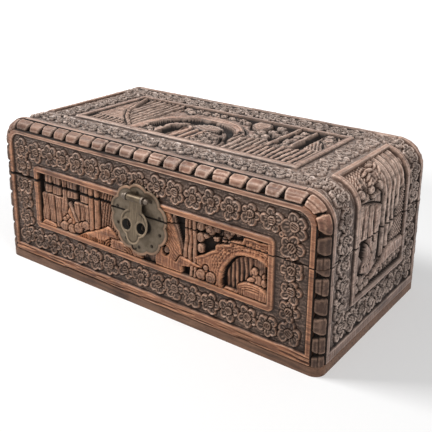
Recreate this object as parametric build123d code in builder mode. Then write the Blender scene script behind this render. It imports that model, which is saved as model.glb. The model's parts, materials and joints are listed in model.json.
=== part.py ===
from build123d import *
from math import cos, pi, radians, sin
import os

os.makedirs("parts", exist_ok=True)

# The box stands on its base with the lock at the front (-Y) and the hinges at the back (+Y).
# The origin is the middle of the underside. All lengths are millimetres.

# Overall box
box_length = 300.0
box_depth = 156.0
box_height = 122.0
lid_line = 75.0  # top edge of the case
lid_gap = 0.4  # shadow line under the closed lid
wall = 12.0  # boards of the case and rails, ends and top of the lid
end_radius = 21.0  # round where the lid's top turns down into its ends
base_height = 7.0
base_inset = 0.6
base_corner = 8.0
base_edge_round = 1.5

# Bead edging: a quarter round let into a rebate, notched into long beads
bead_width = 8.0
bead_pitch = 13.7
beads_on_shoulder = 3
bead_column_top = 97.4  # highest notch of the upright rows
notch_depth = 2.0
notch_half_width = 2.6
notch_step = 0.9  # the notch is steep up to here, then eases onto the bead
notch_step_depth = 0.7

# Carved faces: a plain edge fillet, a sunk border, a picture frame and a deep picture
edge_fillet = 4.0
border_sink = 1.5
foot_band = 7.0  # plain band above the base board
frame_width = 4.5
frame_corner = 4.0
picture_sink = 6.0  # depth of the hollows in a picture
ground_sink = 2.4  # depth of a picture's ground
form_sink = 0.9  # the carved forms stop this far below the frame
front_picture_half = 113.0
front_picture_bottom = 35.0
front_picture_top = 87.0
arch_centre = (96.0, 45.0)  # of the bridge in the front picture
arch_radius = 24.5
top_picture_half = 104.0
picture_front_border = 40.0  # from the front face to the top and end pictures
picture_back_border = 32.0
end_picture_bottom = 34.0
lump_sides = 8

# Hinges: two butt hinges whose barrels lie in a bevelled groove at the back
hinge_from_end = 65.0  # middle of a hinge from the end of the box
hinge_length = 30.0
leaf_thickness = 1.2
leaf_inset = 1.0  # wood left between the leaf and the inside of the box
knuckle_radius = 2.2
hinge_pin_radius = 0.8
middle_knuckle = 12.0
knuckle_gap = 0.3
running_fit = 0.05
back_bevel = 3.0
axis_from_groove = 0.6  # the hinge axis lies this far outside the bottom of the groove
barrel_room = 0.4
hinge_pin_overhang = 0.4
fit_gap = 0.1  # joiner's clearance round let-in pieces
screw_spacing = 20.0
screw_from_inside = 4.2  # screw line from the inside of the box
screw_radius = 1.0
screw_head_radius = 1.9
screw_head_height = 0.9
screw_length = 8.0
screw_tip = 1.2

# Lock plate: a disc of lobes, cut in two by the lid line
plate_height = 70.3  # height of its centre
lobe_count = 10
lobe_radius = 27.4
lobe_notch_radius = 25.0
plate_thickness = 1.0
plate_rim = 1.4
rim_height = 0.5
pad_margin = 0.4  # the wooden pad under the plate is this much smaller
nail_circle = 21.0
nail_radius = 0.5
nail_head_radius = 1.0
nail_head_height = 0.5
nail_head_edge = 0.2
nail_head_bevel = 0.5
nail_length = 6.0
nail_tip = 1.0

# Hasp: a tongue on a ball-ended pin that runs in two eyes on the lid
pin_height = 88.0
pin_standoff = 3.0  # pin axis in front of the plate
hasp_pin_radius = 1.5
ball_radius = 2.1
eye_thickness = 1.4
eye_radius = 2.9
eye_shank = 8.0
eye_play = 0.4  # between an eye and the hasp's tube
hasp_tube_radius = 2.5
hasp_neck_half = 6.6
hasp_neck_length = 9.3
hasp_waist_half = 6.0
hasp_lobe_half = 12.8
hasp_lobe_rise = 1.0  # the lobes are widest this far above the holes
hasp_hole_margin = 2.0
hasp_tip_half = 6.5
hasp_tip_flare = 2.0
hasp_length = 34.0
hasp_thickness = 0.8
hasp_back = 1.5  # its back lies this far behind the pin axis
hasp_tilt = 8.5  # it hangs a little off the plate
hasp_hole_radius = 4.2
hasp_hole_drop = 20.7  # holes below the pin axis
staple_spacing = 13.6
staple_wire = 0.6
staple_bend = 2.3
staple_reach = 4.1
staple_leg = 9.0

# Lines that several pieces share
half_length = box_length / 2
hinge_spacing = box_length - 2 * hinge_from_end
half_depth = box_depth / 2
lid_bottom = lid_line + lid_gap
shoulder_start = half_length - end_radius
shoulder_height = box_height - end_radius
rebate_x = half_length - bead_width
rebate_y = half_depth - bead_width
rebate_z = box_height - bead_width
inside_x = half_length - wall
inside_y = half_depth - wall
inside_z = box_height - wall
band_top = base_height + foot_band
border_x = rebate_x - edge_fillet
border_y = rebate_y - edge_fillet
frame_low_y = picture_front_border - half_depth
frame_high_y = half_depth - picture_back_border
picture_low_y = frame_low_y + frame_width
picture_high_y = frame_high_y - frame_width
over = 2.0  # cuts run this far past the faces that they open
past_case = lid_line + 2 * over

hinge_y = half_depth - back_bevel + axis_from_groove
hinge_z = (lid_line + lid_bottom) / 2
leaf_inner_y = inside_y + leaf_inset
leaf_outer_y = hinge_y - knuckle_radius - knuckle_gap
screw_y = inside_y + screw_from_inside

plate_y = -half_depth - plate_thickness  # front of the lock plate
pin_y = plate_y - pin_standoff
staple_height = pin_height - hasp_hole_drop


# A rectangle given by its sides
def rectangle_sketch(plane, left, right, low, high):
    with BuildSketch(plane) as sketch:
        with Locations(((left + right) / 2, (low + high) / 2)):
            Rectangle(right - left, high - low)
    return sketch.sketch


# A picture frame's outline, open below or above where it runs on into the next board
def frame_sketch(plane, left, right, low, high, rounded):
    with BuildSketch(plane) as sketch:
        with Locations(((left + right) / 2, (low + high) / 2)):
            Rectangle(right - left, high - low)
        fillet(sketch.vertices().group_by(Axis.Y)[rounded], frame_corner)
    return sketch.sketch


# Front view of the lid, with its round shoulders, drawn smaller by an inset
def lid_sketch(plane, inset, low=lid_bottom):
    top = box_height - inset
    with BuildSketch(plane) as sketch:
        with Locations((0, (low + top) / 2)):
            Rectangle(2 * (half_length - inset), top - low)
        fillet(sketch.vertices().group_by(Axis.Y)[-1], end_radius - inset)
    return sketch.sketch


# Front view of the case, drawn smaller at its two ends by an inset
def case_sketch(plane, inset):
    return rectangle_sketch(plane, inset - half_length, half_length - inset, base_height, lid_line)


# Section of the lid's right end: a band between two insets, from a start line to its lower edge
def end_sketch(plane, outer, inner, start, low=lid_bottom):
    with BuildSketch(plane) as sketch:
        add(lid_sketch(Plane.XY, outer, low))
        add(lid_sketch(Plane.XY, inner, low - over), mode=Mode.SUBTRACT)
        add(rectangle_sketch(Plane.XY, -box_length, start, 0, 2 * box_height), mode=Mode.SUBTRACT)
    return sketch.sketch


# Forms of the carved pictures: a shape with straight sides, a straight bar and a rounded lump
def shape_sketch(*points):
    with BuildSketch() as sketch:
        with BuildLine():
            Polyline(*points, close=True)
        make_face()
    return sketch.sketch


def bar_sketch(start, end, width):
    along = (Vector(end) - Vector(start)).normalized()
    aside = Vector(-along.Y, along.X) * width / 2
    a, b = Vector(start), Vector(end)
    return shape_sketch(a + aside, b + aside, b - aside, a - aside)


def lump_sketch(x, y, radius):
    with BuildSketch() as sketch:
        with Locations((x, y)):
            RegularPolygon(radius, lump_sides)
    return sketch.sketch


# A band between two arches that stand on the same line, each given by its left foot, the start,
# top and end of its arc and its right foot
def arch_sketch(outer, inner):
    with BuildSketch() as sketch:
        with BuildLine():
            for foot, start, top, end, far in (outer, tuple(reversed(inner))):
                Line(foot, start)
                ThreePointArc(start, top, end)
                Line(end, far)
            Line(outer[4], inner[4])
            Line(inner[0], outer[0])
        make_face()
    return sketch.sketch


# Outline of the lock plate: arcs from notch to notch, drawn smaller by a margin
def lobed_sketch(plane, margin):
    step = 2 * pi / lobe_count
    notch = lobe_notch_radius - margin
    lobe = lobe_radius - margin
    with BuildSketch(plane) as sketch:
        with BuildLine():
            for index in range(lobe_count):
                start = index * step
                middle = start + step / 2
                end = start + step
                ThreePointArc(
                    (notch * cos(start), plate_height + notch * sin(start)),
                    (lobe * cos(middle), plate_height + lobe * sin(middle)),
                    (notch * cos(end), plate_height + notch * sin(end)),
                )
        make_face()
    return sketch.sketch


# The part of the lock plate's outline between two heights
def half_plate_sketch(plane, margin, low, high):
    with BuildSketch(plane) as sketch:
        add(lobed_sketch(Plane.XY, margin))
        with Locations((0, (low + high) / 2)):
            Rectangle(box_length, high - low, mode=Mode.INTERSECT)
    return sketch.sketch


# A board of the long sides in two layers: the outer one stops at the bead rebate and the inner
# one at the end boards
def long_board(outline, at_front):
    outer_face = rebate_y if at_front else -half_depth
    inner_face = inside_y if at_front else -rebate_y
    with BuildPart() as board:
        extrude(outline(Plane.XZ.offset(outer_face), bead_width), amount=bead_width)
        extrude(outline(Plane.XZ.offset(inner_face), wall), amount=wall - bead_width)
    return board.part


# Front picture, in x and height. Left: hanging cloths, blocks, trunks and a bank with stones.
# Right: a pointed rock, trunks and a bridge with a boat under its arch.
with BuildSketch() as front_forms:
    for x in (-102.0, -95.0, -88.0, -81.0):
        add(bar_sketch((x, 41), (x, 66.5), 5.2))
    for x in (-65.5, -60.5, -55.7):
        add(bar_sketch((x, 50), (x, 66.5), 3.8))
    for left, right in ((-101, -94.5), (-92.5, -85), (-82.3, -77.8), (-76.5, -66.5), (-61.5, -54)):
        add(rectangle_sketch(Plane.XY, left, right, 68, front_picture_top))
    add(shape_sketch((-84, 44), (-66, 46), (-74.5, 61.5)))
    add(bar_sketch((-74, 63), (-65.5, 49.5), 2.4))
    for x in (-50.7, -45.0):
        add(bar_sketch((x, 47), (x, front_picture_top), 4.2))
    for x in (-37.5, -32.5):
        add(bar_sketch((x - 2.5, 53), (x + 2, front_picture_top), 2.8))
    add(shape_sketch((-64, 40), (-52, 46), (-36, 54.5), (-30, 54.5), (-20, 50), (-12, 40)))
    for x, z, radius in ((-80.7, 43.6, 4.6), (-73, 43.4, 4), (-66, 45.6, 4.2), (-57.2, 48.8, 3.8)):
        add(lump_sketch(x, z, radius))
    tongue = [(36.4, 38), (36.6, 44), (55.5, 49.3), (39.5, 51.3)]
    add(shape_sketch((16, 38), *tongue, (34.4, 64), (29, 80), (16, 80)))
    for low, high, width in ((39.8, 42.8, 3.2), (44, 45.5, 3), (48.6, 48.6, 2.8)):
        add(bar_sketch((low, 50), (high, 84), width))
    for z in (78.7, 70.9, 63.2):
        add(rectangle_sketch(Plane.XY, 51.1, 56.3, z - 3.2, z + 3.2))
    for x, z, radius in ((61.5, 78.2, 4), (76, 79, 3.6), (54, 43.2, 4.2), (62.5, 43.2, 4.2)):
        add(lump_sketch(x, z, radius))
    steps = [(67.8, 64.8), (67.8, 68.9), (79.2, 72), (80, 75.4), (89.8, 77), (90.6, 80.2)]
    add(shape_sketch((51.5, 51), (51.5, 55.3), *steps, (110, 81.3), (110, 38), (67, 38), (66, 48.5)))
    with Locations(arch_centre):
        Circle(arch_radius, mode=Mode.SUBTRACT)
    add(shape_sketch((85, 43.5), (89, 48), (108, 50), (110, 40.5), (88, 40.5)))
    add(lump_sketch(98, 58.7, 3))
    add(shape_sketch((95, 48), (95.5, 55.5), (101, 56.5), (105, 49)))

with BuildSketch() as front_hollows:
    add(rectangle_sketch(Plane.XY, -110, -105.3, 42, front_picture_top))
    add(rectangle_sketch(Plane.XY, -66, -62, 67, 73))
    add(rectangle_sketch(Plane.XY, -42.6, -40.4, 52, front_picture_top))
    add(shape_sketch((29.5, 80), (41, 84), (40, 51.5), (38.9, 52)))
    add(shape_sketch((56.6, 58), (56.6, 74), (67, 74), (67, 65)))
    add(rectangle_sketch(Plane.XY, 70, 73.6, 70, front_picture_top))
    add(rectangle_sketch(Plane.XY, 38.4, 44.5, 40, 45))
    with Locations(arch_centre):
        Circle(arch_radius)

# Top picture, in x and y: a tiled roof and long boards, a great arch over a smaller one, trunks
# and planks
ridge = [(-98, 40), (-84, 4), (-73, -11.5), (-53, -30)]
great_arch = [(-50, -36), (-49.5, 4), (-8, 32), (34, 8), (41, -36)]
under_arch = [(-44.5, -36), (-41, -2), (-5, 20.5), (29.5, 5), (36, -36)]
cabin = [(-12, 1), (-21.5, -5), (-25, -12), (-25, -36)]  # inside of the smaller arch
with BuildSketch() as top_forms:
    for index in range(6):
        x = -83.5 + 5.4 * index
        add(bar_sketch((x, -36), (x, picture_high_y), 3))
    add(shape_sketch((-100, 42), *ridge, (-50, -36), (-100, -36)), mode=Mode.SUBTRACT)
    for start, end in zip(ridge, ridge[1:]):
        add(bar_sketch(start, end, 3.4))
    add(arch_sketch(great_arch, under_arch))
    add(shape_sketch((-29, -36), (-28.5, -12), (-24, -2.5), (-14, 4.5), *cabin))
    for x in (-13.5, -6.5, 0.5):
        add(bar_sketch((x, -36), (x, -5), 5.4))
    with Locations((3.5, 3)):
        Ellipse(15, 7.5)
    lumps = [(10, -14), (17, -26), (-41, 35), (-28, 37), (22, 36), (36, 30), (46, 20), (50, 34), (91, 28)]
    for x, y in lumps:
        add(lump_sketch(x, y, 4.6))
    for x, low, high in ((45, -36, 2), (50.5, -36, 4), (59.5, -36, 42), (75.2, -4, 42)):
        add(bar_sketch((x, low), (x, high), 3.2))
    for x, high in ((66, -7.5), (73, -5.5), (80, -3), (87, -1), (94, 1.5)):
        add(bar_sketch((x, -36), (x, high), 5.6))

with BuildSketch() as top_hollows:
    add(shape_sketch((-94, 38), (-87, 38), (-86, 16)))
    with BuildLine():
        Line((-43.8, -26), (-41, -2))
        ThreePointArc((-41, -2), (-5, 20.5), (29.5, 5))
        ThreePointArc((29.5, 5), (-9, 14), (-39, -10))
        Line((-39, -10), (-43.8, -26))
    make_face()
    add(shape_sketch(*cabin, (-18, -36), (-18.5, -12), (-14, -4)))
    add(shape_sketch((25, -36), (29, -12), (22, 0), (24, 0), (33, -12), (31, -36)))
    add(shape_sketch((77, 34), (82.5, 37), (82.5, 4), (77, 0)))

# End pictures, in y and height: hanging cloths, a grove of straight trunks that runs on over the
# shoulder, a bank and a rock
grove = [8.6 + 5.5 * index for index in range(5)]
trunk_width = 3.2
shoulder_bars = [-30.0, -13.0, 0.0]
with BuildSketch() as end_forms:
    for y, top in ((-29.5, 101), (-22, 100), (-13.5, 97.5), (-5, 94.5)):
        add(bar_sketch((y, lid_bottom - over), (y, top), 6.2))
    add(rectangle_sketch(Plane.XY, -8, -2.5, 56, lid_line + over))
    for y in grove:
        add(bar_sketch((y, 52), (y, past_case), trunk_width))
    add(shape_sketch((20, 58), (34, 88), (38, 96), (46, 96), (46, 58)))
    bank = [(-12, 44), (4.6, 48.6), (11, 55), (20, 57.5), (46, 56.6)]
    add(shape_sketch(*bank, (46, 46.5), (10, 46)))
    add(shape_sketch((-18, 71), (-4, 52), (-13, 49), (-23, 58)))
    for y in (-29, -21, 2, 12, 22, 33):
        add(lump_sketch(y, 42.4, 3.4))

with BuildSketch() as end_hollows:
    add(shape_sketch((-26, 73), (-18, 73), (-12, 62), (-18, 58), (-26, 66)))
    add(rectangle_sketch(Plane.XY, -1.8, 4.2, 53, lid_line + over))
    add(rectangle_sketch(Plane.XY, 1.5, 5.6, lid_bottom - over, shoulder_height + 3))
    for y, z, radius in ((-20.5, 111, 2.8), (-5.5, 108, 3.4)):
        add(lump_sketch(y, z, radius))


# What the carver takes out of a picture: all of it to just under the frame, the ground between
# the forms, and the hollows
def picture_carving(face, panel, forms, hollows):
    with BuildPart() as carving:
        with BuildSketch(face):
            add(panel)
        extrude(amount=-form_sink)
        for sink, keep in ((ground_sink, None), (picture_sink, hollows)):
            with BuildSketch(face):
                add(panel)
                add(forms, mode=Mode.SUBTRACT)
                if keep:
                    add(keep, mode=Mode.INTERSECT)
            extrude(amount=-sink)
    return carving.part


# What the carver takes off a front board: the sunk border and, deeper, the picture. The wooden
# pad under the lock plate is left standing.
def front_carving(ground, low, high, rounded):
    face = Plane.XZ.offset(half_depth)
    outer = frame_sketch(Plane.XY, -front_picture_half, front_picture_half, low, high, rounded)
    inner_half = front_picture_half - frame_width
    inner_low = low + frame_width
    inner_high = high - frame_width
    with BuildPart() as carving:
        with BuildSketch(face):
            add(ground)
            add(outer, mode=Mode.SUBTRACT)
            add(lobed_sketch(Plane.XY, pad_margin), mode=Mode.SUBTRACT)
        extrude(amount=-border_sink)
        with BuildSketch() as panel:
            add(rectangle_sketch(Plane.XY, -inner_half, inner_half, inner_low, inner_high))
            add(lobed_sketch(Plane.XY, pad_margin), mode=Mode.SUBTRACT)
        add(picture_carving(face, panel.sketch, front_forms.sketch, front_hollows.sketch))
    return carving.part


# Ring-shaped cutter that notches a bead row. The row's inner arris runs through the origin
# along the tangent, and the cutter is turned round it.
def notch_cutter(origin, tangent, outward):
    floor = bead_width - notch_depth
    step = bead_width - notch_step_depth
    clear = bead_width + notch_depth
    with BuildPart() as cutter:
        with BuildSketch(Plane(origin, x_dir=tangent, z_dir=Vector(tangent).cross(Vector(outward)))):
            with BuildLine():
                Polyline(
                    (0, floor),
                    (notch_step, step),
                    (notch_half_width, bead_width),
                    (notch_half_width, clear),
                    (-notch_half_width, clear),
                    (-notch_half_width, bead_width),
                    (-notch_step, step),
                    close=True,
                )
            make_face()
        revolve(axis=Axis(origin, tangent))
    return cutter.part


# Heights of the notches in an upright bead row between two heights
def column_notches(low, high):
    count = int(bead_column_top / bead_pitch) + 1
    heights = [bead_column_top - index * bead_pitch for index in range(count)]
    return [height for height in heights if low + notch_half_width < height < high - notch_step]


# Room for both hinges in the edge of a back board: a mortise for the leaf, a round trough for
# the barrel and pilot holes for the screws
def hinge_room(edge, into):
    with BuildPart() as room:
        for centre in (-hinge_spacing / 2, hinge_spacing / 2):
            low = centre - hinge_length / 2 - fit_gap
            high = centre + hinge_length / 2 + fit_gap
            leaf = rectangle_sketch(Plane.XY.offset(edge), low, high, leaf_inner_y - fit_gap, hinge_y)
            extrude(leaf, amount=into * leaf_thickness)
            ends = hinge_pin_overhang + barrel_room
            with BuildSketch(Plane.YZ.offset(low - ends)):
                with Locations((hinge_y, hinge_z)):
                    Circle(knuckle_radius + barrel_room)
            extrude(amount=high - low + 2 * ends)
            with BuildSketch(Plane.XY.offset(edge)):
                with Locations((centre, screw_y)):
                    with GridLocations(screw_spacing, 1, 2, 1):
                        Circle(screw_radius + running_fit)
            extrude(amount=into * (screw_length + running_fit))
    return room.part


# Pilot holes in the front boards for the metal that is nailed or driven through the plate
def front_holes(centres, radius, depth):
    with BuildPart() as holes:
        with BuildSketch(Plane.XZ.offset(half_depth + plate_thickness)):
            with Locations(*centres):
                Circle(radius + running_fit)
        extrude(amount=-plate_thickness - depth)
    return holes.part


# Groove along the back, half in the case and half in the lid. Its two faces nearly meet when
# the lid is fully open, and stop it.
with BuildPart() as back_groove:
    with BuildSketch(Plane.YZ.offset(-half_length - over)):
        with BuildLine():
            Polyline(
                (half_depth - back_bevel, lid_line),
                (half_depth + back_bevel, lid_line - 2 * back_bevel),
                (half_depth + back_bevel, lid_bottom + 2 * back_bevel),
                (half_depth - back_bevel, lid_bottom),
                close=True,
            )
        make_face()
    extrude(amount=box_length + 2 * over)

eye_offset = hasp_neck_half + eye_play + eye_thickness / 2
eye_centres = [(-eye_offset, pin_height), (eye_offset, pin_height)]
staple_centres = [
    (side * staple_spacing / 2, staple_height + leg * staple_bend)
    for side in (-1, 1)
    for leg in (-1, 1)
]


# Nail places on the lobes to the left and right, above or below the lid line
def nail_centres(side):
    places = []
    for index in range(2):
        turn = (index + 0.5) * 2 * pi / lobe_count
        height = plate_height + side * nail_circle * sin(turn)
        places.append((nail_circle * cos(turn), height))
        places.append((-nail_circle * cos(turn), height))
    return places


# Base board
with BuildPart() as base_board:
    with BuildSketch():
        RectangleRounded(box_length - 2 * base_inset, box_depth - 2 * base_inset, base_corner)
    extrude(amount=base_height)
    fillet(base_board.edges().group_by(Axis.Z)[-1], base_edge_round)
base_board.part.label = "base_board"
export_step(base_board.part, "parts/base_board.step")

# Case front
with BuildPart() as case_front:
    add(long_board(case_sketch, at_front=True))
    ground = rectangle_sketch(Plane.XY, -border_x, border_x, band_top, lid_line + over)
    open_top = lid_line + over + frame_width
    add(front_carving(ground, front_picture_bottom, open_top, 0), mode=Mode.SUBTRACT)
    add(front_holes(staple_centres, staple_wire, staple_leg), mode=Mode.SUBTRACT)
    add(front_holes(nail_centres(-1), nail_radius, nail_length), mode=Mode.SUBTRACT)
case_front.part.label = "case_front"
export_step(case_front.part, "parts/case_front.step")

# Case back: planed plain, bevelled and mortised for the hinges
with BuildPart() as case_back:
    add(long_board(case_sketch, at_front=False))
    add(back_groove.part, mode=Mode.SUBTRACT)
    add(hinge_room(lid_line, -1), mode=Mode.SUBTRACT)
case_back.part.label = "case_back"
export_step(case_back.part, "parts/case_back.step")

# Case ends: the pictures run on into the lid above
with BuildPart() as case_right_end:
    inside = Plane.YZ.offset(inside_x)
    face = Plane.YZ.offset(half_length)
    extrude(rectangle_sketch(inside, -rebate_y, rebate_y, base_height, lid_line), amount=wall)
    frame = rectangle_sketch(Plane.XY, frame_low_y, frame_high_y, end_picture_bottom, past_case)
    with BuildSketch(face):
        add(rectangle_sketch(Plane.XY, -border_y, border_y, band_top, lid_line + over))
        add(frame, mode=Mode.SUBTRACT)
    extrude(amount=-border_sink, mode=Mode.SUBTRACT)
    picture_bottom = end_picture_bottom + frame_width
    panel = rectangle_sketch(Plane.XY, picture_low_y, picture_high_y, picture_bottom, past_case)
    carving = picture_carving(face, panel, end_forms.sketch, end_hollows.sketch)
    add(carving, mode=Mode.SUBTRACT)
case_right_end.part.label = "case_right_end"
export_step(case_right_end.part, "parts/case_right_end.step")

with BuildPart() as case_left_end:
    mirror(case_right_end.part, about=Plane.YZ)
case_left_end.part.label = "case_left_end"
export_step(case_left_end.part, "parts/case_left_end.step")

# Corner beads of the case, one quarter round in each upright rebate
with BuildPart() as bead_front_right:
    with BuildSketch(Plane.XY.offset(base_height)):
        with BuildLine():
            Line((rebate_x, -rebate_y), (half_length, -rebate_y))
            CenterArc((rebate_x, -rebate_y), bead_width, 0, -90)
            Line((rebate_x, -half_depth), (rebate_x, -rebate_y))
        make_face()
    extrude(amount=lid_line - base_height)
    for height in column_notches(base_height, lid_line):
        cutter = notch_cutter((rebate_x, -rebate_y, height), (0, 0, 1), (1, 0, 0))
        add(cutter, mode=Mode.SUBTRACT)
bead_front_right.part.label = "case_bead_front_right"
export_step(bead_front_right.part, "parts/case_bead_front_right.step")

with BuildPart() as bead_front_left:
    mirror(bead_front_right.part, about=Plane.YZ)
bead_front_left.part.label = "case_bead_front_left"
export_step(bead_front_left.part, "parts/case_bead_front_left.step")

with BuildPart() as bead_back_right:
    mirror(bead_front_right.part, about=Plane.XZ)
    add(back_groove.part, mode=Mode.SUBTRACT)
bead_back_right.part.label = "case_bead_back_right"
export_step(bead_back_right.part, "parts/case_bead_back_right.step")

with BuildPart() as bead_back_left:
    mirror(bead_back_right.part, about=Plane.YZ)
bead_back_left.part.label = "case_bead_back_left"
export_step(bead_back_left.part, "parts/case_bead_back_left.step")

# Lid top board
with BuildPart() as lid_top:
    inside = Plane.XY.offset(inside_z)
    face = Plane.XY.offset(box_height)
    extrude(rectangle_sketch(inside, -shoulder_start, shoulder_start, -rebate_y, rebate_y), amount=wall)
    half = top_picture_half
    frame = rectangle_sketch(Plane.XY, -half, half, frame_low_y, frame_high_y)
    with BuildSketch(face):
        add(rectangle_sketch(Plane.XY, -box_length, box_length, -border_y, border_y))
        add(frame, mode=Mode.SUBTRACT)
    extrude(amount=-border_sink, mode=Mode.SUBTRACT)
    half = top_picture_half - frame_width
    panel = rectangle_sketch(Plane.XY, -half, half, picture_low_y, picture_high_y)
    carving = picture_carving(face, panel, top_forms.sketch, top_hollows.sketch)
    add(carving, mode=Mode.SUBTRACT)
lid_top.part.label = "lid_top"
export_step(lid_top.part, "parts/lid_top.step")

# Upper part of an end picture: the ground follows the shoulder, and so do the bars of the grove
def shoulder_carving():
    picture_start = shoulder_start + frame_width
    low = lid_bottom - over
    depth = picture_high_y - picture_low_y
    face = Plane.YZ.offset(half_length)
    with BuildPart() as carving:
        ground = end_sketch(Plane.XZ, -over, ground_sink, picture_start, low)
        extrude(ground.moved(Location((0, picture_low_y, 0))), amount=-depth)
        form = end_sketch(Plane.XZ, form_sink, ground_sink + over, picture_start, low)
        for y in grove:
            bar = form.moved(Location((0, y - trunk_width / 2, 0)))
            extrude(bar, amount=-trunk_width, mode=Mode.SUBTRACT)
        with BuildSketch(Plane.XZ) as upper:
            add(end_sketch(Plane.XY, form_sink, ground_sink + over, picture_start, low))
            below = rectangle_sketch(Plane.XY, 0, box_length, 0, shoulder_height + over)
            add(below, mode=Mode.SUBTRACT)
        for y in shoulder_bars:
            bar = upper.sketch.moved(Location((0, y - trunk_width, 0)))
            extrude(bar, amount=-2 * trunk_width, mode=Mode.SUBTRACT)
        with BuildSketch(face.offset(-form_sink)):
            add(end_forms.sketch)
            flat = rectangle_sketch(Plane.XY, -box_depth, box_depth, low, shoulder_height)
            add(flat, mode=Mode.INTERSECT)
        extrude(amount=form_sink - ground_sink - over, mode=Mode.SUBTRACT)
        with BuildSketch(face.offset(-picture_sink)):
            add(end_hollows.sketch)
            panel = rectangle_sketch(Plane.XY, picture_low_y, picture_high_y, low, box_height)
            add(panel, mode=Mode.INTERSECT)
        extrude(amount=picture_sink + over)
    return carving.part


# Lid ends: bent blocks of even thickness, with the end pictures wrapped over the round
with BuildPart() as lid_right_end:
    front_plane = Plane.XZ.offset(rebate_y)
    extrude(end_sketch(front_plane, 0, wall, shoulder_start), amount=-2 * rebate_y)
    border = end_sketch(Plane.XZ, -over, border_sink, shoulder_start - over, lid_bottom - over)
    for start, end in ((-border_y, frame_low_y), (frame_high_y, border_y)):
        cut = border.moved(Location((0, start, 0)))
        extrude(cut, amount=start - end, mode=Mode.SUBTRACT)
    add(shoulder_carving(), mode=Mode.SUBTRACT)
lid_right_end.part.label = "lid_right_end"
export_step(lid_right_end.part, "parts/lid_right_end.step")

with BuildPart() as lid_left_end:
    mirror(lid_right_end.part, about=Plane.YZ)
lid_left_end.part.label = "lid_left_end"
export_step(lid_left_end.part, "parts/lid_left_end.step")

# Lid front rail
with BuildPart() as lid_front_rail:
    add(long_board(lid_sketch, at_front=True))
    ground = lid_sketch(Plane.XY, bead_width + edge_fillet, lid_bottom - over)
    open_bottom = lid_bottom - over - frame_width
    add(front_carving(ground, open_bottom, front_picture_top, -1), mode=Mode.SUBTRACT)
    add(front_holes(eye_centres, eye_thickness / 2, eye_shank), mode=Mode.SUBTRACT)
    add(front_holes(nail_centres(1), nail_radius, nail_length), mode=Mode.SUBTRACT)
lid_front_rail.part.label = "lid_front_rail"
export_step(lid_front_rail.part, "parts/lid_front_rail.step")

# Lid back rail
with BuildPart() as lid_back_rail:
    add(long_board(lid_sketch, at_front=False))
    add(back_groove.part, mode=Mode.SUBTRACT)
    add(hinge_room(lid_bottom, 1), mode=Mode.SUBTRACT)
lid_back_rail.part.label = "lid_back_rail"
export_step(lid_back_rail.part, "parts/lid_back_rail.step")

# Bead edging of the lid: one row from the lid line up over both shoulders and along the top
with BuildPart() as lid_bead_front:
    with BuildLine(Plane.XZ.offset(rebate_y)):
        FilletPolyline(
            (-rebate_x, lid_bottom),
            (-rebate_x, rebate_z),
            (rebate_x, rebate_z),
            (rebate_x, lid_bottom),
            radius=end_radius - bead_width,
        )
    with BuildSketch(Plane((-rebate_x, -rebate_y, lid_bottom))):
        with BuildLine():
            Line((0, 0), (-bead_width, 0))
            CenterArc((0, 0), bead_width, 180, 90)
            Line((0, -bead_width), (0, 0))
        make_face()
    sweep()
    run_count = int(shoulder_start / bead_pitch + 0.5)
    last_notch_x = (run_count - 0.5) * bead_pitch
    for index in range(run_count):
        for side in (-1, 1):
            x = side * (index + 0.5) * bead_pitch
            cutter = notch_cutter((x, -rebate_y, rebate_z), (1, 0, 0), (0, 0, 1))
            add(cutter, mode=Mode.SUBTRACT)
    for height in column_notches(lid_bottom, shoulder_height):
        for side in (-1, 1):
            cutter = notch_cutter((side * rebate_x, -rebate_y, height), (0, 0, 1), (side, 0, 0))
            add(cutter, mode=Mode.SUBTRACT)
    before_round = shoulder_start - last_notch_x
    after_round = shoulder_height - bead_column_top
    round_length = before_round + end_radius * pi / 2 + after_round
    for index in range(1, beads_on_shoulder):
        turn = (index * round_length / beads_on_shoulder - before_round) / end_radius
        for side in (-1, 1):
            outward = Vector(side * sin(turn), 0, cos(turn))
            tangent = Vector(side * cos(turn), 0, -sin(turn))
            corner = Vector(side * shoulder_start, -rebate_y, shoulder_height)
            origin = corner + outward * (end_radius - bead_width)
            add(notch_cutter(origin, tangent, outward), mode=Mode.SUBTRACT)
lid_bead_front.part.label = "lid_bead_front"
export_step(lid_bead_front.part, "parts/lid_bead_front.step")

with BuildPart() as lid_bead_back:
    mirror(lid_bead_front.part, about=Plane.XZ)
    add(back_groove.part, mode=Mode.SUBTRACT)
lid_bead_back.part.label = "lid_bead_back"
export_step(lid_bead_back.part, "parts/lid_bead_back.step")


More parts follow.
